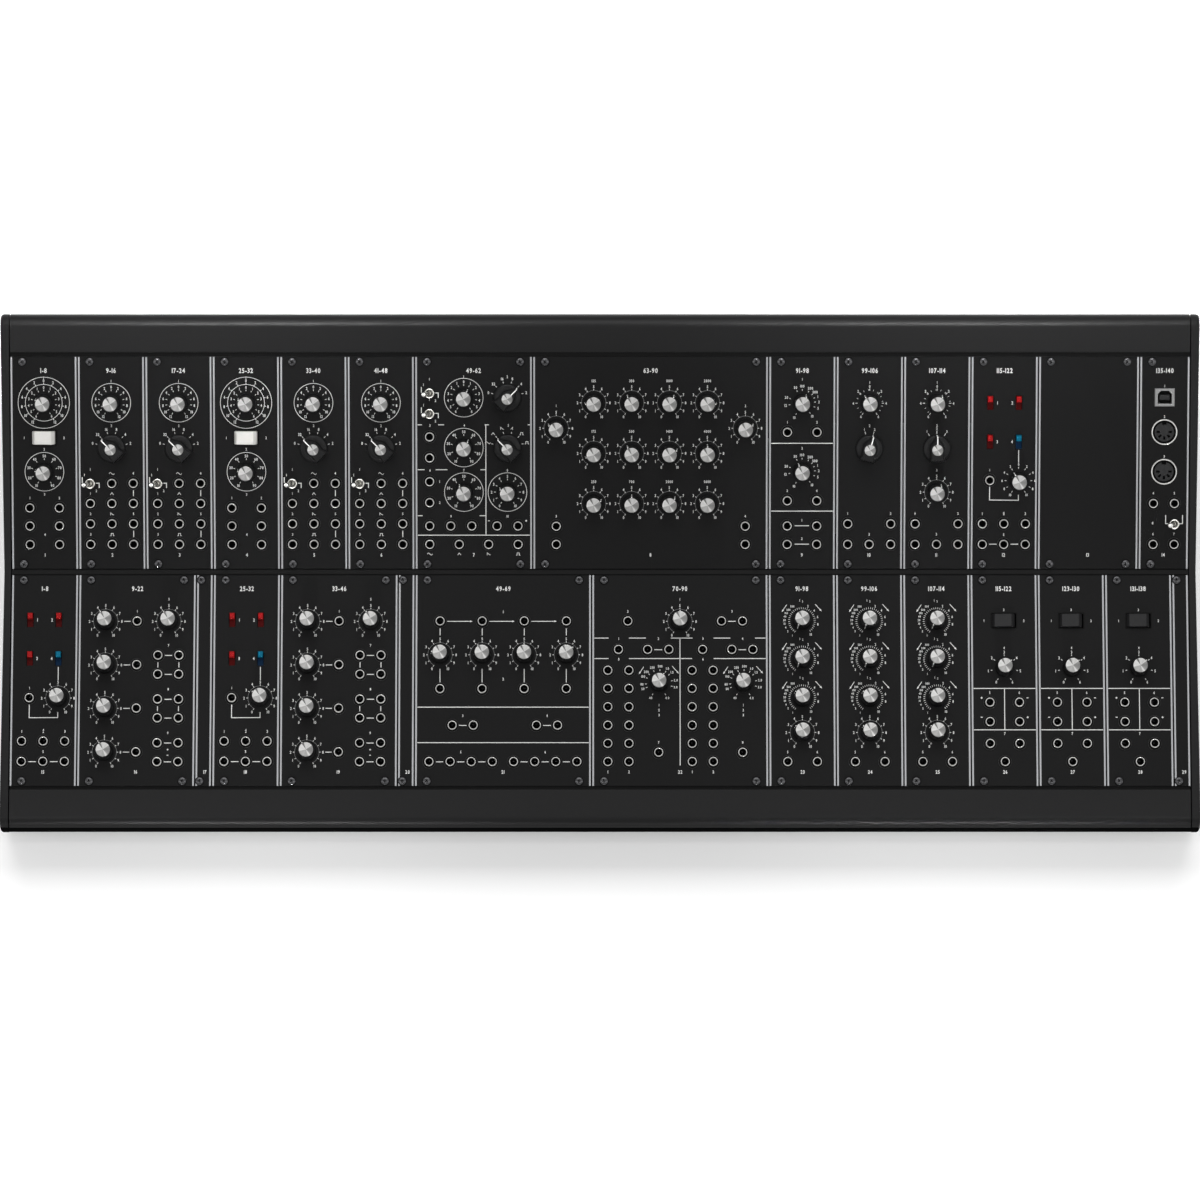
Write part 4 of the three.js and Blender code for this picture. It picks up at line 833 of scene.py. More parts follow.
# Knobs and selectors give the angle of their pointer, clockwise from up, and the scale round them
PANELS = {
    "driver": {
        "units": 8,
        "knobs": [(0.5, 0.216, -60, driver_dial), (0.5, 0.541, -75, width_dial)],
        "rockers": [(0.5, 0.381)],
        "jacks": grid(PAIR, (0.711, 0.796, 0.884)),
    },
    "oscillator": {
        "units": 8,
        "knobs": [(0.5, 0.216, -105, oscillator_dial)],
        "selectors": [(0.5, 0.43, -45, range_scale)],
        "toggles": [(0.181, 0.595)],
        "jacks": [(0.5, 0.595), (0.819, 0.595), *grid(TRIPLE, (0.69, 0.786, 0.883))],
    },
    "voltage_oscillator": {
        "units": 14,
        "knobs": [(0.416, 0.192, 25, range_dial), (0.416, 0.427, 30, width_dial),
                  (0.416, 0.637, -30, width_dial), (0.786, 0.637, -60, level_dial)],
        "selectors": [(0.786, 0.192, 45, range_scale), (0.786, 0.429, -45, wave_scale)],
        "toggles": [(0.126, 0.17), (0.126, 0.266)],
        "jacks": [*grid([0.126], (0.376, 0.475, 0.587, 0.686)),
                  *grid((0.126, 0.304, 0.483, 0.697, 0.875), [0.796]),
                  *grid((0.126, 0.376, 0.626, 0.876), [0.883])],
    },
    "filter_bank": {
        "units": 28,
        "knobs": [(0.1, 0.336, -60, ring_dial),
                  *[(*place, angle, ring_dial) for place, angle in zip(
                      grid((0.259, 0.42, 0.58, 0.741), (0.216, 0.454, 0.691)), BAND_ANGLES)],
                  (0.902, 0.336, 60, ring_dial)],
        "jacks": grid((0.1, 0.902), (0.797, 0.883)),
    },
    "noise_filters": {
        "units": 8,
        "knobs": [(0.5, 0.216, 25, noise_dial), (0.5, 0.54, -25, noise_dial)],
        "jacks": grid(PAIR, (0.354, 0.677, 0.796, 0.883)),
    },
    "high_pass": {
        "units": 8,
        "knobs": [(0.5, 0.216, -35, cutoff_dial)],
        "selectors": [(0.5, 0.432, 15, two_way_scale)],
        "jacks": [*grid(OUTER, [0.786]), *grid(TRIPLE, [0.883])],
    },
    "low_pass": {
        "units": 8,
        "knobs": [(0.5, 0.216, 35, cutoff_dial), (0.5, 0.637, 30, ring_dial)],
        "selectors": [(0.5, 0.432, 0, three_way_scale)],
        "jacks": [*grid(OUTER, [0.786]), *grid(TRIPLE, [0.883])],
    },
    "control_voltages": {
        "units": 8,
        "knobs": [(0.715, 0.583, -30, level_scale)],
        "slides": grid((0.29, 0.715), (0.216, 0.399)),
        "jacks": [(0.287, 0.581), *grid(TRIPLE, (0.786, 0.883))],
    },
    "blank": {"units": 12},
    "digital_interface": {
        "units": 6,
        "toggles": [(0.708, 0.786)],
        "jacks": grid((0.292, 0.708), (0.69, 0.883)),
        "usb": [(0.5, 0.191)],
        "din": [(0.5, 0.354), (0.5, 0.541)],
    },
    "controller": {
        "units": 8,
        "knobs": [(0.71, 0.584, -60, ring_dial)],
        "slides": grid((0.287, 0.71), (0.213, 0.396)),
        "jacks": [(0.287, 0.584), *grid(TRIPLE, (0.789, 0.885))],
    },
    "mixer": {
        "units": 14,
        "knobs": [*[(0.232, row, -30, ring_dial) for row in (0.22, 0.427, 0.633, 0.84)],
                  (0.768, 0.22, -30, ring_dial)],
        "jacks": [*grid([0.5], (0.22, 0.427, 0.633, 0.84)),
                  *grid((0.679, 0.857), (0.382, 0.472, 0.59, 0.679, 0.797, 0.886))],
    },
    "filler": {"units": 2},
    "attenuators": {
        "units": 21,
        "knobs": [(column, 0.379, angle, ring_dial) for column, angle in zip(COLUMNS, (-85, -30, 0, 55))],
        "jacks": [*grid(COLUMNS, (0.22, 0.541)), *grid((0.213, 0.332, 0.689, 0.808), [0.714]),
                  *grid((0.083, 0.202, 0.321, 0.44, 0.56, 0.679, 0.798, 0.917), [0.886])],
    },
    "trigger_interface": {
        "units": 21,
        "knobs": [(0.5, 0.22, 0, ring_dial), (0.381, 0.513, 35, time_dial), (0.857, 0.513, -30, time_dial)],
        "jacks": [*grid((0.205, 0.735, 0.854), [0.22]),
                  *grid((0.152, 0.317, 0.437, 0.628, 0.793, 0.912), [0.355]),
                  *grid((0.092, 0.211, 0.568, 0.687), (0.454, 0.54, 0.627, 0.714, 0.8, 0.886)),
                  *grid((0.379, 0.853), [0.842])],
    },
    "envelope": {
        "units": 8,
        "knobs": [(0.5, 0.218, -150, envelope_dial), (0.5, 0.4, -150, envelope_dial),
                  (0.5, 0.584, -60, envelope_dial), (0.5, 0.747, -60, ring_dial)],
        "jacks": grid(PAIR, [0.886]),
    },
    "amplifier": {
        "units": 8,
        "knobs": [(0.5, 0.442, 50, gain_dial)],
        "rockers": [(0.5, 0.217)],
        "jacks": [*grid(PAIR, (0.605, 0.697, 0.8)), (0.5, 0.886)],
    },
}
GROUPS = ("knobs", "selectors", "toggles", "slides", "rockers")

INDEX_DEPTH = 119.9
HEADING_DEPTH = 8.2
LINE_INSET = 1.7


def middle(a, b):
    """The place halfway between two places, at the height of the first."""
    return (a[0] + b[0]) / 2, a[1]


class Sheet:
    """The print of one panel. (u, v) is a distance right and down from its top left corner."""

    def __init__(self, spec, place):
        self.left, self.top = place((0, 0))
        self.width = spec["units"] * PANEL_UNIT
        self.shapes = []
        self.knobs, _, self.toggles, self.slides, self.rockers, self.jacks = (
            [place(entry) for entry in spec.get(group, [])] for group in (*GROUPS, "jacks"))

    def strip(self, path, width=BAR, **sizes):
        self.shapes.append(ribbon(path, width, **sizes))

    def line(self, *points):
        self.strip([(self.left + u, self.top - v) for u, v in points])

    def full(self, v, *gaps):
        """A line right across the panel, broken by gaps of (from, to)."""
        edges = [LINE_INSET, *[edge for gap in gaps for edge in gap], self.width - LINE_INSET]
        for u0, u1 in zip(edges[::2], edges[1::2]):
            self.line((u0, v), (u1, v))

    def link(self, a, b, clear_a=4.2, clear_b=4.2, draw=ribbon, thick=BAR):
        """A line between two places, clear of each by its own distance."""
        a, b = Vector(a), Vector(b)
        along = (b - a).normalized()
        self.shapes.append(draw((tuple(a + along * clear_a), tuple(b - along * clear_b)), thick))

    def links(self, pairs, *sizes):
        for a, b in pairs:
            self.link(self.jacks[a], self.jacks[b], *sizes)

    def text(self, label, v, u=None, height=1.7):
        """A label on the middle of the panel or at a distance u."""
        u = self.width / 2 if u is None else u
        self.shapes.append(words(label, self.left + u, self.top - v, height))

    def number(self, places, rise=6.0, start=1, height=1.6):
        for i, (x, y) in enumerate(places, start):
            self.shapes.append(words(i, x, y + rise, height))

    def sign(self, x, y, crossed, size):
        self.strip([(x - size / 2, y), (x + size / 2, y)], 0.42)
        if crossed:
            self.strip([(x, y - size / 2), (x, y + size / 2)], 0.42, high=0.052)

    def symbols(self, places, rise):
        for kind, (x, y) in zip(("sine", "triangle", "saw", "pulse"), places):
            self.shapes.append(wave(kind, x, y + rise))


def switch_print(sheet, kind):
    """Numerals and brackets beside toggles, rockers and slide switches."""
    for x, y in sheet.toggles:
        if kind == "digital_interface":
            for side in (-1, 1):
                sheet.strip([(x + side * 3.6, y), (x + side * 5.1, y), (x + side * 5.1, y + 5.2)], 0.5)
            continue
        sheet.strip([(x - 4.9, y + 3.6), (x - 4.9, y + 0.2)], 0.5)
        sheet.strip([(x + 3.5, y), (x + 5.3, y), (x + 5.3, y - 2.9)], 0.5)
        sheet.number([(x, y)], 8.4)
        sheet.number([(x - 3.6, y), (x + 3.6, y - 9.6)], 5.0)
    for x, y in sheet.rockers:
        sheet.number([(x - 12, y), (x + 12, y)], 0.0)
    for i, (x, y) in enumerate(sheet.slides):
        sheet.number([(x + (-4.1 if i % 2 else 4.3), y)], 0.0, i + 1, 2.0)


def driver_print(sheet):
    for i, v in enumerate((12.7, 55.8, 83.2), 1):
        sheet.text(i, v, height=1.6)
    sheet.number(sheet.jacks[:2])
    sheet.text(4, 107.6)


def oscillator_print(sheet):
    jacks = sheet.jacks
    sheet.text(1, 14.6, height=1.6)
    sheet.text(2, 41.6, height=1.6)
    sheet.symbols(jacks[::3], 5.8)
    sheet.number(jacks[2:9:3])
    sheet.number([jacks[1], jacks[7]], 6.0, 4)
    sheet.links(((1, 4), (7, 10)), 4.3, 4.3)


def voltage_oscillator_print(sheet):
    jacks = sheet.jacks
    sheet.text(1, 12.0, 29.6)
    sheet.text(2, 12.0, 55.9)
    sheet.full(41.1, (4.4, 14.1), (17.7, 42.2), (44.7, 68.2))
    sheet.full(68.3, (5.9, 12.6), (19.7, 39.6), (42.7, 69.4))
    sheet.full(96.2, (4.6, 39.1), (42.7, 69.4))
    sheet.full(108.0)
    sheet.line((42.9, 41.1), (42.9, 108.0))
    places = ((9.2, 41.4), (29.9, 41.4), (56.5, 41.4), (9.2, 68.6), (29.6, 68.6), (55.9, 68.6),
              (21.8, 96.5), (56.0, 96.5))
    for i, (u, v) in enumerate(places, 3):
        sheet.text(i, v, u, 1.6)
    sheet.number([(x + 6.0, y) for x, y in jacks[2:4]], 0.0)
    for (x, y), side in zip(jacks[7:9], (-1, 1)):
        sheet.sign(x + side * 4.9, y + 3.0, side > 0, 1.1)
    sheet.symbols(jacks[9:], -6.0)


def filter_bank_print(sheet):
    bands = (125, 350, 1000, 2800, 175, 500, 1400, 4000, 250, 700, 2000, 5600)
    for band, (x, y) in zip(bands, sheet.knobs[1:13]):
        sheet.shapes.append(words(band, x, y + 13.3, 1.7))
    sheet.number([sheet.knobs[0], sheet.knobs[13]], 13.6)
    sheet.number(sheet.jacks[:2], 6.0, 3)


def noise_filters_print(sheet):
    sheet.number(sheet.knobs, 14.2)
    sheet.full(52.3)
    sheet.full(93.4)
    sheet.number(sheet.jacks[:4])
    sheet.number([middle(*sheet.jacks[4:6]), middle(*sheet.jacks[6:8])], 3.4)
    sheet.links(((4, 5), (6, 7)), 4.6, 4.6)


def pass_filter_print(sheet):
    sheet.text(1, 15.4)
    sheet.text(2, 41.6)
    sheet.number(sheet.knobs[1:], 13.3, 3)
    sheet.number(sheet.jacks[:2], 6.2)
    sheet.text(3, 107.4)


def slides_print(sheet):
    jacks = sheet.jacks
    (x, y), (u, v) = jacks[0], sheet.knobs[0]
    sheet.number(jacks[1:4], 6.1, height=1.8)
    sheet.text(4, 94.6)
    sheet.text(5, 107.6)
    sheet.number(jacks[:1], 6.2)
    sheet.strip([(x, y - 3.6), (x, y - 12.0), (u, v - 11.9), (u, v - 8.6)])
    sheet.link(sheet.slides[3], sheet.knobs[0], 5.2, 10.9)
    sheet.links(((4, 5), (5, 6)))


def digital_interface_print(sheet):
    for i, v in enumerate((17.6, 36.0, 60.2), 1):
        sheet.text(i, v, height=1.6)
    sheet.number(sheet.jacks, 6.2, 4)
    sheet.text(8, 100.6, 8.6)


def mixer_print(sheet):
    jacks = sheet.jacks
    sheet.number([sheet.knobs[4]], 13.6, 5)
    sheet.number(jacks[:1], 6.2)
    for x, y in jacks[:4]:
        sheet.link((x - 12, y), (x, y), 4.1, 4.0)
    for i in (4, 8, 12):
        x, y = middle(jacks[i], jacks[i + 1])
        sheet.links(((i, i + 1), (i + 2, i + 3)))
        if i < 12:
            sheet.links(((i, i + 2), (i + 1, i + 3)))
        else:
            sheet.sign(x, y - 4.0, True, 1.0)
            sheet.sign(x, y - 7.4, False, 1.0)
        sheet.number([(x, y)], 6.2, 6 + i // 4)


def attenuators_print(sheet):
    jacks = sheet.jacks
    sheet.links(((0, 1), (1, 2), (2, 3)), 4.3, 5.8, arrow, 0.4)
    for jack, knob, out in zip(jacks[:4], sheet.knobs, jacks[4:8]):
        sheet.link(jack, knob, 4.3, 11.8)
        sheet.link(knob, out, 8.6, 3.8)
    sheet.text(1, 22.4)
    sheet.text(2, 63.4)
    sheet.full(80.6)
    sheet.full(102.2)
    sheet.links(((8, 9), (10, 11)), 3.9, 3.9)
    sheet.links([(i, i + 1) for i in (12, 13, 14, 16, 17, 18)])
    ends = ((8, 9), (10, 11), (12, 15), (16, 19))
    sheet.number([middle(jacks[a], jacks[b]) for a, b in ends], 6.0, 3)


def trigger_interface_print(sheet):
    jacks, knobs = sheet.jacks, sheet.knobs
    sheet.full(38.5, (10.2, 22.6), (32.8, 47.9), (60.9, 73.6), (83.7, 98.6))
    sheet.full(51.0, (10.2, 22.6), (60.6, 73.6))
    sheet.line((sheet.width / 2, 38.5), (sheet.width / 2, 116.0))
    places = ((16.4, 38.8), (40.3, 38.8), (67.2, 38.8), (91.1, 38.8), (16.4, 51.3), (67.2, 51.3))
    for i, (u, v) in enumerate(places, 1):
        sheet.text(i, v, u, 1.6)
    sheet.number(knobs[:1], 13.4)
    sheet.number([jacks[0], middle(*jacks[1:3])], 6.2, 2)
    sheet.links(((1, 2), (4, 5), (7, 8)), 4.0, 4.0)
    sheet.number(jacks[-2:], 6.2, 7)
    for x, y in knobs[1:]:
        sheet.number([(x, y - drop) for drop in (13.4, 16.4, 19.4)], 0.0)
    for first in (29, 31):
        sheet.number(jacks[first:first + 2], -6.0, height=1.8)


def envelope_print(sheet):
    sheet.number(sheet.jacks, 6.0, 5)


def amplifier_print(sheet):
    sheet.text(3, 21.2, height=1.6)
    sheet.text(4, 44.4, height=1.6)
    sheet.full(69.2)
    sheet.full(94.4)
    sheet.line((sheet.width / 2, 69.2), (sheet.width / 2, 94.4))
    for (x, y), side, crossed in zip(sheet.jacks, (-1, 1, -1, 1), (True, False, False, True)):
        sheet.sign(x + side * 4.95, y + 2.8, crossed, 1.2)
    sheet.number(sheet.jacks[:2], 6.0, 5)
    sheet.text(7, 96.6)


PRINTS = {
    "driver": driver_print, "oscillator": oscillator_print, "voltage_oscillator": voltage_oscillator_print,
    "filter_bank": filter_bank_print, "noise_filters": noise_filters_print,
    "high_pass": pass_filter_print, "low_pass": pass_filter_print, "control_voltages": slides_print,
    "controller": slides_print, "digital_interface": digital_interface_print, "mixer": mixer_print,
    "attenuators": attenuators_print, "trigger_interface": trigger_interface_print,
    "envelope": envelope_print, "amplifier": amplifier_print,
}


def drawing(kind, spec, place, first_unit, serial):
    """Everything printed on a panel but the scales of its knobs."""
    sheet, units = Sheet(spec, place), spec["units"]
    if kind in PRINTS:
        sheet.text(f"{first_unit}-{first_unit + units - 1}", HEADING_DEPTH, height=3.0)
    sheet.text(serial, INDEX_DEPTH, sheet.width / 2 + (1.0 if kind == "filler" else 0.0), 2.2)
    switch_print(sheet, kind)
    if kind in PRINTS:
        PRINTS[kind](sheet)
    return sheet.shapes


# Banks of panels from the left, with the controls that move, by kind and in the order of their panels
BANKS = [
    (UPPER_ROW, [
        ("oscillator_bank_1", ["driver", "oscillator", "oscillator"], {
            "knobs": ["driver_frequency_knob", "driver_width_knob", "oscillator_frequency_knob"],
            "rockers": ["driver_range_rocker"], "selectors": ["oscillator_range_selector"],
            "toggles": ["oscillator_sync_toggle"]}),
        ("oscillator_bank_2", ["driver", "oscillator", "oscillator"], {}),
        ("voltage_oscillator", ["voltage_oscillator"], {
            "knobs": ["voltage_oscillator_knob"],
            "selectors": ["voltage_range_selector", "waveform_selector"],
            "toggles": ["voltage_scale_toggle"]}),
        ("fixed_filter_bank", ["filter_bank"], {"knobs": ["bank_low_pass_knob", "bank_band_knob"]}),
        ("filter_bank", ["noise_filters", "high_pass", "low_pass"], {
            "knobs": ["noise_filter_knob", None, "high_pass_knob", "low_pass_knob", "regeneration_knob"],
            "selectors": ["high_pass_selector", "low_pass_selector"]}),
        ("control_voltages", ["control_voltages"], {
            "knobs": ["control_level_knob"], "slides": ["control_slide_switch"]}),
        ("blank_panel", ["blank"], {}),
        ("digital_interface", ["digital_interface"], {"toggles": ["interface_toggle"]}),
    ]),
    (LOWER_ROW, [
        ("mixer_bank_1", ["controller", "mixer", "filler"], {
            "knobs": [None, "mixer_channel_knob", None, None, None, "mixer_master_knob"],
            "slides": [None, None, None, "controller_slide_switch"]}),
        ("mixer_bank_2", ["controller", "mixer", "filler"], {}),
        ("attenuator_bank", ["attenuators"], {"knobs": ["attenuator_knob"]}),
        ("trigger_interface", ["trigger_interface"], {"knobs": ["sensitivity_knob", "delay_time_knob"]}),
        ("envelope_bank", ["envelope", "envelope", "envelope"], {
            "knobs": ["attack_knob", "decay_knob", "release_knob", "sustain_knob"]}),
        ("amplifier_bank", ["amplifier", "amplifier", "amplifier", "filler"], {
            "knobs": ["amplifier_gain_knob"], "rockers": ["amplifier_mode_rocker"]}),
    ]),
]

PLATE_CHAMFER = 0.2
EDGE_LINE = 0.98
EDGE_LINE_INSET = 0.48
EDGE_LINE_END = 0.1
WIDE_PANEL = 12
SCREW_COLUMN = 7.5
FILLER_SCREW_COLUMN = 2.9

# The outline and the sizes of the hole for each kind of control or socket
HOLES = {
    "knobs": (circle, 3.75, 20), "selectors": (circle, 3.75, 20), "toggles": (circle, 2.75, 20),
    "jacks": (circle, 2.7, 20), "slides": (rectangle, 2, 4.35), "rockers": (rectangle, 7.6, 4.3),
    "usb": (rectangle, 5.2, 4.9), "din": (circle, 7.0, 32),
}


def hole(group, place):
    outline, *sizes = HOLES[group]
    return outline(*place, *sizes)[::-1]


def add_turned(group, label, body, row, place, pointer):
    """A knob or a selector. At rest the reflection painted on its cap lies one way, whatever its pointer
    shows.
    """
    shape, cap, shades, mark = TURNED[group]
    here = row @ at(*place, 0, pointer)
    add(f"{label}_body", shape, here, "knob_plastic", "knob_plastic", body)
    add(f"{label}_cap", cap, row @ at(*place), "knob_cap", "knob_cap", body, shades=shades)
    add(f"{label}_mark", mark, here, "pointer_white", "white_print", body)


def add_toggle(label, body, row, place, panel):
    base, here = row @ at(*place), row @ at(*place, LEVER_PIVOT, 0, LEVER_LEAN)
    add(f"{panel}_toggle_bushes", TOGGLE_NUT, base, "switch_nickel", "switch_nickel")
    add(f"{panel}_toggle_wells", TOGGLE_WELL, base, "socket_plastic", "socket_plastic")
    add(f"{label}_body", LEVER, here, "switch_nickel", "switch_nickel", body)


def add_slide(label, body, row, place, panel, colour):
    base, look = row @ at(*place), f"slide_{colour}"
    name = f"{panel}_slides_{colour}" if body == CONSOLE else f"{label}_body"
    add(name, SLIDE_TAB, base, look, look, body)
    # The plate under the tab is coloured with painted shade for the slot it lies in
    add(f"{panel}_slide_floors_{colour}", SLIDE_FLOOR, base, f"{look}_painted_shade", look)


def add_rocker(label, body, row, place, panel):
    """A rocker in its frame: white on a driver panel, black elsewhere."""
    look, slot = ("rocker_white",) * 2 if panel.startswith("driver") else ("rocker_black", "knob_plastic")
    here = row @ at(*place, ROCKER_PIVOT, 0, ROCKER_LEAN)
    add(f"{label}_body", ROCKER, here, look, slot, body)
    add(f"{panel}_rocker_frames", ROCKER_FRAME, row @ at(*place), "socket_plastic", "socket_plastic")


def add_control(group, i, entry, name, panel, place, row):
    """A control and its fixed parts. A control with a name of its own rides on its own body."""
    common = name or f"{panel}_{group}", name or CONSOLE, row, place
    if group in TURNED:
        add_turned(group, *common, entry[2])
        print_on(panel, entry[3](*place), row)
    elif group == "toggles":
        add_toggle(*common, panel)
    elif group == "slides":
        add_slide(*common, panel, "blue" if i == 3 else "red")
    else:
        add_rocker(*common, panel)
    if name:
        replacing.append((f"{name}_body", name))


def print_on(name, shapes, row):
    for points, faces, *look in shapes:
        look = look[0] if look else "white_print"
        add(f"{name}_{look}", (points, faces), row, look, "white_print")


def add_plate(name, spec, left, right, place, row):
    """The plate of a panel with a hole for each of its controls, and its two bright edge lines."""
    x, y, half = (left + right) / 2, PANEL_HEIGHT / 2, (right - left - PANEL_GAP) / 2
    holes = [hole(group, place(entry)) for group in HOLES for entry in spec.get(group, [])]
    plate = pierced_plate(rectangle(x, y, half, y), holes, -PANEL_THICKNESS, 0, PLATE_CHAMFER)
    add(f"{name}_plate", plate, row, "panel_paint", "panel_paint", smooth=SHARP_PLATE)
    middle_of_line = EDGE_LINE_INSET + EDGE_LINE / 2
    for x in (left + middle_of_line, right - middle_of_line):
        line = ribbon([(x, EDGE_LINE_END), (x, PANEL_HEIGHT - EDGE_LINE_END)], EDGE_LINE)
        add(f"{name}_edge_lines", line, row, "silver_print", "silver_print")


def add_panel_screws(name, spec, left, right, row):
    """Screws near the left end of a panel and the right end of a wide one, each turned its own way."""
    columns = [left + (FILLER_SCREW_COLUMN if spec["units"] == 2 else SCREW_COLUMN)]
    if spec["units"] >= WIDE_PANEL:
        columns.append(right - SCREW_COLUMN)
    for i, x in enumerate(columns):
        for j, y in enumerate((SCREW_INSET, PANEL_HEIGHT - SCREW_INSET)):
            add_screw(name, row @ at(x, y, 0, (37 * i + 61 * j + 23 * int(left)) % 90))


def add_panel(kind, name, left, bank, controls, row, serial):
    """One panel with its plate, print, screws, sockets and controls."""
    spec = PANELS[kind]
    width = spec["units"] * PANEL_UNIT

    def place(entry):
        return left + entry[0] * width, PANEL_HEIGHT * (1 - entry[1])

    add_plate(name, spec, left, left + width, place, row)
    replacing.append((f"{name}_plate", bank))
    add_panel_screws(name, spec, left, left + width, row)
    for group, parts in FITTINGS.items():
        for entry in spec.get(group, []):
            for suffix, shape, look, slot in parts:
                add(f"{name}_{suffix}", shape, row @ at(*place(entry)), look, slot)
    for group in GROUPS:
        for i, entry in enumerate(spec.get(group, [])):
            queue = controls.get(group)
            add_control(group, i, entry, queue.pop(0) if queue else None, name, place(entry), row)
    first_unit = round((left + ROW_WIDTH / 2) / PANEL_UNIT) + 1
    print_on(name, drawing(kind, spec, place, first_unit, serial), row)


def add_rows():
    counts = {}
    for row, banks in BANKS:
        left = -ROW_WIDTH / 2
        for bank, kinds, controls in banks:
            queues = {group: list(names) for group, names in controls.items()}
            for kind in kinds:
                counts[kind] = counts.get(kind, 0) + 1
                add_panel(kind, f"{kind}_{counts[kind]}", left, bank, queues, row, sum(counts.values()))
                left += PANELS[kind]["units"] * PANEL_UNIT


# Case
# The centre bar takes the darker rail colour, with painted shade for the gap between the rows
NODE_LOOKS = {
    "base_tray": "sheet_paint", "centre_bar": "rail_paint_and_shade", "front_foot_strip": "foot_rubber",
    "rear_foot_strip": "foot_rubber", "power_supply": "supply_metal", "upper_bus_board": "circuit_board",
    "lower_bus_board": "circuit_board", "power_inlet": "socket_plastic", "power_switch": "knob_plastic",
}

CHEEKS = (("left_cheek", -1), ("right_cheek", 1))
NOSE_STEPS = 14
EDGE_STEPS = 8
TRIM_CORNER = 0.35
HEM_CORNER = 0.3
INNER_CHAMFER = 0.25
CHEEK_SCREW_SCALE = (1.25, 1.25, 0.08, 1)
CHEEK_SCREW_SINK = 0.14
TRAY_SCREW_Z = 14
TRAY_SCREW_ENDS = (34, 20)
REAR_SCREW_STEP = 165
REAR_SCREW_HEIGHTS = (12, BACK_LIP_Z - 7)


def dress(node, look):
    """Gives a look to a piece of the CAD model that stays as it is."""
    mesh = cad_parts[node].data
    mesh.materials.clear()
    mesh.materials.append(materials[look])
    mesh.polygons.foreach_set("use_smooth", [True] * len(mesh.polygons))
    mesh.set_sharp_from_angle(angle=math.radians(SHARP_NODE))


def trim_sections(on_face, gap, reach, nose, lean, side_y, lip_z):
    """A rail with its strip slot under the panels, and a folded trim with a rounded edge and a lip."""
    start, seat = ROW_EDGE + gap, -PANEL_THICKNESS - CLEARANCE
    slot = ROW_EDGE - SCREW_INSET
    near, far = slot + STRIP_SLOT_WIDTH / 2, slot - STRIP_SLOT_WIDTH / 2
    inner = reach - TRIM_WALL * (1 + math.sin(lean)) / math.cos(lean)
    lip_y = side_y - math.copysign(TRIM_WALL, side_y)
    rail = [(ROW_EDGE - RAIL_REACH, -RAIL_DEPTH), (ROW_EDGE - RAIL_REACH, seat), (far, seat),
            (far, seat - STRIP_SLOT_DEPTH), (near, seat - STRIP_SLOT_DEPTH), (near, seat),
            (start, seat), (start, -RAIL_DEPTH)]
    trim = rounded([
        on_face(start, -RAIL_DEPTH), (*on_face(start), TRIM_CORNER), (*on_face(reach), nose),
        (side_y, lip_z), (lip_y, lip_z), (*on_face(inner, -TRIM_WALL), nose - TRIM_WALL),
        on_face(start + TRIM_WALL, -TRIM_WALL), on_face(start + TRIM_WALL, -RAIL_DEPTH)], NOSE_STEPS)
    return [on_face(*point) for point in rail], trim


def waist(y):
    """How much thinner a cheek is than at its ends, most of all at the fold."""
    return CHEEK_WAIST * np.clip(1 - np.abs(y - FOLD_Y) / (CASE_BACK_Y - FOLD_Y), 0, 1)


def end_plate(outline):
    """A (y, z) outline as a plate on the right end of the case, rounded over on its outer side."""
    levels = [(INNER_CHAMFER, 0.0), (0.0, INNER_CHAMFER)]
    for step in range(EDGE_STEPS + 1):
        turn = math.radians(90 * step / EDGE_STEPS)
        levels.append((CHEEK_EDGE * (1 - math.cos(turn)),
                       CHEEK_THICKNESS - CHEEK_EDGE * (1 - math.sin(turn))))
    points, faces = layered(outline, levels)
    points[:, 2] *= 1 - waist(points[:, 0]) / CHEEK_THICKNESS
    return points[:, [2, 0, 1]] + np.array((INNER_HALF, 0, 0)), faces


def cheek_shape():
    """The side profile of the case, its outer face in two flats that meet at the fold."""
    front = CASE_FRONT_Y + HEM_SETBACK
    outline = rounded([
        (CASE_FRONT_Y + FRONT_UNDERCUT, FOOT_HEIGHT), (FOLD_Y, FOOT_HEIGHT),
        (CASE_BACK_Y, FOOT_HEIGHT, TRIM_NOSE), (CASE_BACK_Y, BACK_TOP_Z, TRIM_BACK), (FOLD_Y, FOLD_HEIGHT),
        (front, FRONT_TOP_Z, TRIM_NOSE), (front, FRONT_LIP_Z)], NOSE_STEPS)
    points, faces = end_plate(outline)
    low, high = sorted(sorted(range(len(outline)), key=lambda i: abs(outline[i][0] - FOLD_Y))[:2])
    face = faces.pop()
    return points, [*faces, face[low:high + 1], (*face[high:], *face[:low + 1])]


def cheek_hem():
    """A matte black strip of painted shade carried round the lip of a cheek."""
    low, high = FRONT_LIP_Z, FRONT_LIP_Z + HEM_HEIGHT
    front, back = CASE_FRONT_Y, CASE_FRONT_Y + HEM_DEPTH
    return end_plate([(front, low), (back, low), (back, high), (front, high)])


def front_hem():
    """A profile of painted shade along the lip of the front trim, a little behind its face: matte black
    with no shine.
    """
    low, high = FRONT_LIP_Z, FRONT_LIP_Z + HEM_HEIGHT
    face, back = CASE_FRONT_Y + HEM_SETBACK, CASE_FRONT_Y + TRIM_WALL
    return rounded([(face, high), (face, low, HEM_CORNER), (back, low, HEM_CORNER), (back, high)], 5)


def on_side(shape, side):
    """A shape of the right end of the case, mirrored for the left end."""
    points, faces = shape
    return shape if side > 0 else flipped((points * np.array((-1, 1, 1)), faces))


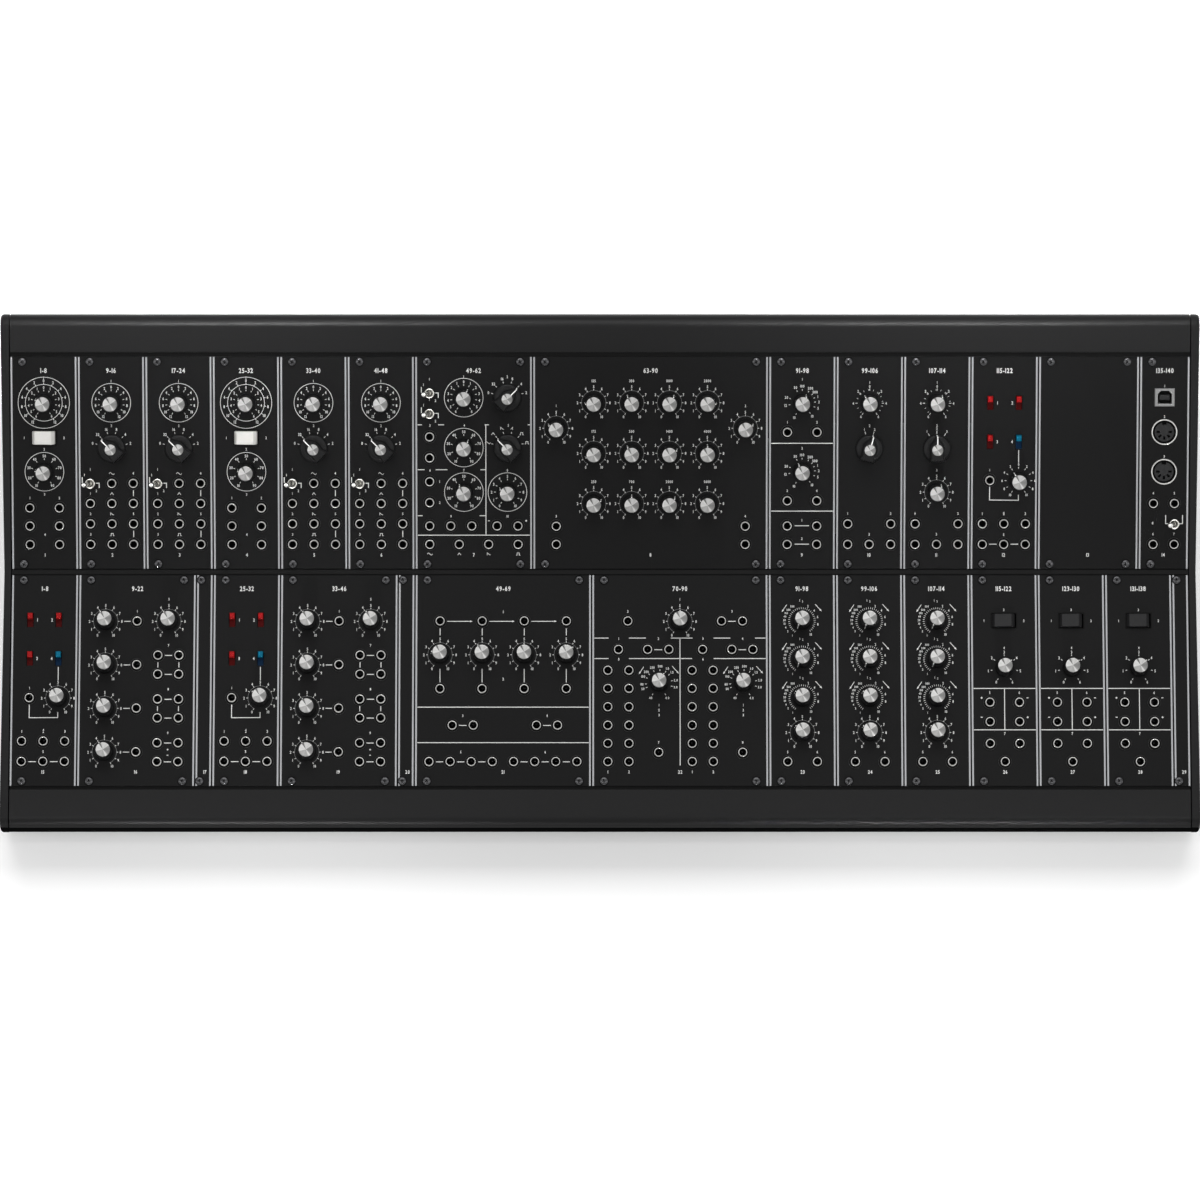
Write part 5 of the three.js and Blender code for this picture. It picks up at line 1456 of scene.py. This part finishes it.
def add_case():
    level, half = Matrix(), ROW_WIDTH / 2 - TRIM_SEAM
    front = trim_sections(on_lower, FRONT_TRIM_GAP, FRONT_REACH, TRIM_NOSE, -LOWER_SLOPE, CASE_FRONT_Y,
                          FRONT_LIP_Z)
    top = trim_sections(on_upper, TOP_TRIM_GAP, TOP_REACH, TRIM_BACK, UPPER_SLOPE, CASE_BACK_Y, BACK_LIP_Z)
    above_hem = [point for point in front[1] if point[1] >= FRONT_LIP_Z + HEM_HEIGHT]
    for name, rail, trim in (("front_trim", front[0], above_hem), ("top_trim", *top)):
        # The rails under the panel edges take the darker colour, with painted shade for the grooves
        add(f"{name}_rail", along_x(rail, -half, half), level, "rail_paint_and_shade", "case_paint")
        add(f"{name}_skin", along_x(trim, -half, half), level, "case_paint", "case_paint")
        replacing.append((f"{name}_skin", name))
    # The lower part of the front lip and the front corners of the cheeks are strips of painted shade
    add("front_hem", along_x(front_hem(), -INNER_HALF, INNER_HALF), level, "hem_painted_shade", "foot_rubber")
    for name, side in CHEEKS:
        add(f"{name}_skin", on_side(cheek_shape(), side), level, "cheek_paint", "case_paint")
        add(f"{name}_hem", on_side(cheek_hem(), side), level, "hem_painted_shade", "foot_rubber")
        replacing.append((f"{name}_skin", name))


def add_case_screws():
    """Flat screws in the cheeks and domed ones in two rows on the rear wall, each turned its own way."""
    flat = Matrix.Diagonal(CHEEK_SCREW_SCALE)
    places = [on_face(along, -RAIL_DEPTH) for on_face, along in (
        (on_lower, ROW_EDGE), (on_lower, ROW_GAP * 2), (on_upper, ROW_GAP * 2), (on_upper, ROW_EDGE))]
    front, back = TRAY_SCREW_ENDS
    places += [(y, TRAY_SCREW_Z) for y in (CASE_FRONT_Y + front, FOLD_Y, CASE_BACK_Y - back)]
    for name, side in CHEEKS:
        for i, (y, z) in enumerate(places):
            place = Matrix.Translation((side * (OUTER_HALF - waist(y) - CHEEK_SCREW_SINK), y, z))
            outward = Matrix.Rotation(math.radians(90 * side), 4, "Y") @ Matrix.Rotation(0.7 * i, 4, "Z")
            add_screw(name, place @ outward @ flat)
    for i in range(5):
        for z in REAR_SCREW_HEIGHTS:
            place = Matrix.Translation((REAR_SCREW_STEP * (i - 2), CASE_BACK_Y - SHEET_INSET, z))
            outward = Matrix.Rotation(math.radians(-90), 4, "X") @ Matrix.Rotation(0.9 * i + z, 4, "Z")
            add_screw("rear", place @ outward)


add_rows()
for node, look in NODE_LOOKS.items():
    dress(node, look)
add_case()
add_case_screws()
pieces = make_pieces()
for piece, node in replacing:
    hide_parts(node)


# Camera, lights and floor, in metres
CAMERA_TILT = math.radians(17.97)
CAMERA_SHIFT = math.radians(0.2314)
CAMERA_DISTANCE = 4.191
CAMERA_LENS = 208.0
SENSOR_WIDTH = 36.0
FLOOR_SIZE = 12.0
FLOOR_TONE = 0.86
FLOOR_GLOW = {"From Min": 0.3, "From Max": 2.2, "To Min": 0.18, "To Max": 0.8}
WORLD_LIGHT = {"To Min": 0.32, "To Max": 1.0}
AIM = (0, 0, 0.05)

# Place, aim, size, power and spread of each lamp. A lamp off the middle has a mirrored one on the left
LAMPS = {
    "back_light": ((0, 1.25, 2.3), AIM, (2.6, 1.5), 45, 180),
    "key": ((0.95, -0.8, 2.45), (0.2, 0, 0.05), (0.7, 0.8), 4.5, 180),
    "edge_light": ((0, -0.36, 2.6), AIM, (2.4, 0.1), 3.5, 180),
    "glow": ((0.225, 0.26, 0.75), (0.225, 0.27, 0), (0.18, 0.06), 0.38, 37),
    "front_light": ((0, -2.4, 0.44), AIM, (2.4, 0.2), 8, 180),
    "front": ((0.33, -2.3, 0.85), (0.21, -0.17, 0.12), (0.1, 0.05), 0.06, 8.5),
    "wing": ((0.85, -1.1, 2.15), (0.3, 0.1, 0.1), (0.45, 0.45), 3, 180),
    "light": ((2.4, -0.6, 1.6), AIM, (0.8, 1.6), 10, 180),
}


def aimed(item, location, direction):
    item.location = location
    item.rotation_euler = direction.to_track_quat("-Z", "Y").to_euler()
    bpy.context.scene.collection.objects.link(item)


def make_camera():
    """The camera looks down at the panels from the front, a little off the line to the fold."""
    data = bpy.data.cameras.new("camera")
    data.lens = CAMERA_LENS
    data.sensor_width = SENSOR_WIDTH
    camera = bpy.data.objects.new("camera", data)
    fold = Vector((0, FOLD_Y * MM, FOLD_HEIGHT * MM))
    lean = CAMERA_TILT + CAMERA_SHIFT
    away = Vector((0, -math.sin(lean), math.cos(lean))) * CAMERA_DISTANCE
    aimed(camera, fold + away, Vector((0, math.sin(CAMERA_TILT), -math.cos(CAMERA_TILT))))
    bpy.context.scene.camera = camera


def area_light(name, place, aim, size, power, spread):
    data = bpy.data.lights.new(name, "AREA")
    data.shape = "RECTANGLE"
    data.size, data.size_y = size
    data.energy = power
    data.spread = math.radians(spread)
    aimed(bpy.data.objects.new(name, data), place, Vector(aim) - Vector(place))


def make_lamps():
    for name, ((x, *place), (aim_x, *aim), *light) in LAMPS.items():
        if x == 0:
            area_light(name, (x, *place), (aim_x, *aim), *light)
            continue
        for word, side in (("left", -1), ("right", 1)):
            area_light(f"{word}_{name}", (side * x, *place), (side * aim_x, *aim), *light)


def seen_rays(tree):
    """1 for rays from the camera, in reflections and through glass, and 0 for light on the object."""
    path = new_node(tree, "LightPath", {})
    value = path.outputs["Is Camera Ray"]
    for kind in ("Is Glossy Ray", "Is Transmission Ray"):
        either = new_node(tree, "Math", {0: value, 1: path.outputs[kind]}, operation="MAXIMUM")
        value = either.outputs["Value"]
    return value


def make_floor():
    """A pale floor that shows white to the camera and in reflections, and keeps the shadow."""
    mesh = bpy.data.meshes.new("floor")
    corners = rectangle(0, 0, FLOOR_SIZE, FLOOR_SIZE)
    mesh.from_pydata([(x, y, 0) for x, y in corners], [], [(0, 1, 2, 3)])
    floor = bpy.data.objects.new("floor", mesh)
    bpy.context.scene.collection.objects.link(floor)
    material, tree = new_material("floor")
    tree.nodes.remove(tree.nodes["Principled BSDF"])
    pale = new_node(tree, "BsdfDiffuse", {"Color": (*[FLOOR_TONE] * 3, 1)})
    place = new_node(tree, "TexCoord", {})
    distance = new_node(tree, "VectorMath", {0: place.outputs["Object"]}, operation="LENGTH")
    rise = new_node(tree, "MapRange", {"Value": distance.outputs["Value"], **FLOOR_GLOW})
    strength = new_node(tree, "Math", {0: seen_rays(tree), 1: rise.outputs["Result"]}, operation="MULTIPLY")
    glow = new_node(tree, "Emission", {"Strength": strength.outputs["Value"]})
    both = new_node(tree, "AddShader", {0: pale.outputs["BSDF"], 1: glow.outputs["Emission"]})
    feed(tree, tree.nodes["Material Output"], {"Surface": both.outputs["Shader"]})
    mesh.materials.append(material)


def make_world():
    """White to the camera and in reflections, and a softer fill for the light on the object."""
    world = bpy.data.worlds.new("world")
    bpy.context.scene.world = world
    world.use_nodes = True
    tree = world.node_tree
    fill = new_node(tree, "MapRange", {"Value": seen_rays(tree), **WORLD_LIGHT})
    feed(tree, tree.nodes["Background"], {"Strength": fill.outputs["Result"], "Color": (1, 1, 1, 1)})


make_camera()
make_floor()
make_world()
make_lamps()
bpy.context.scene.view_settings.view_transform = "Standard"
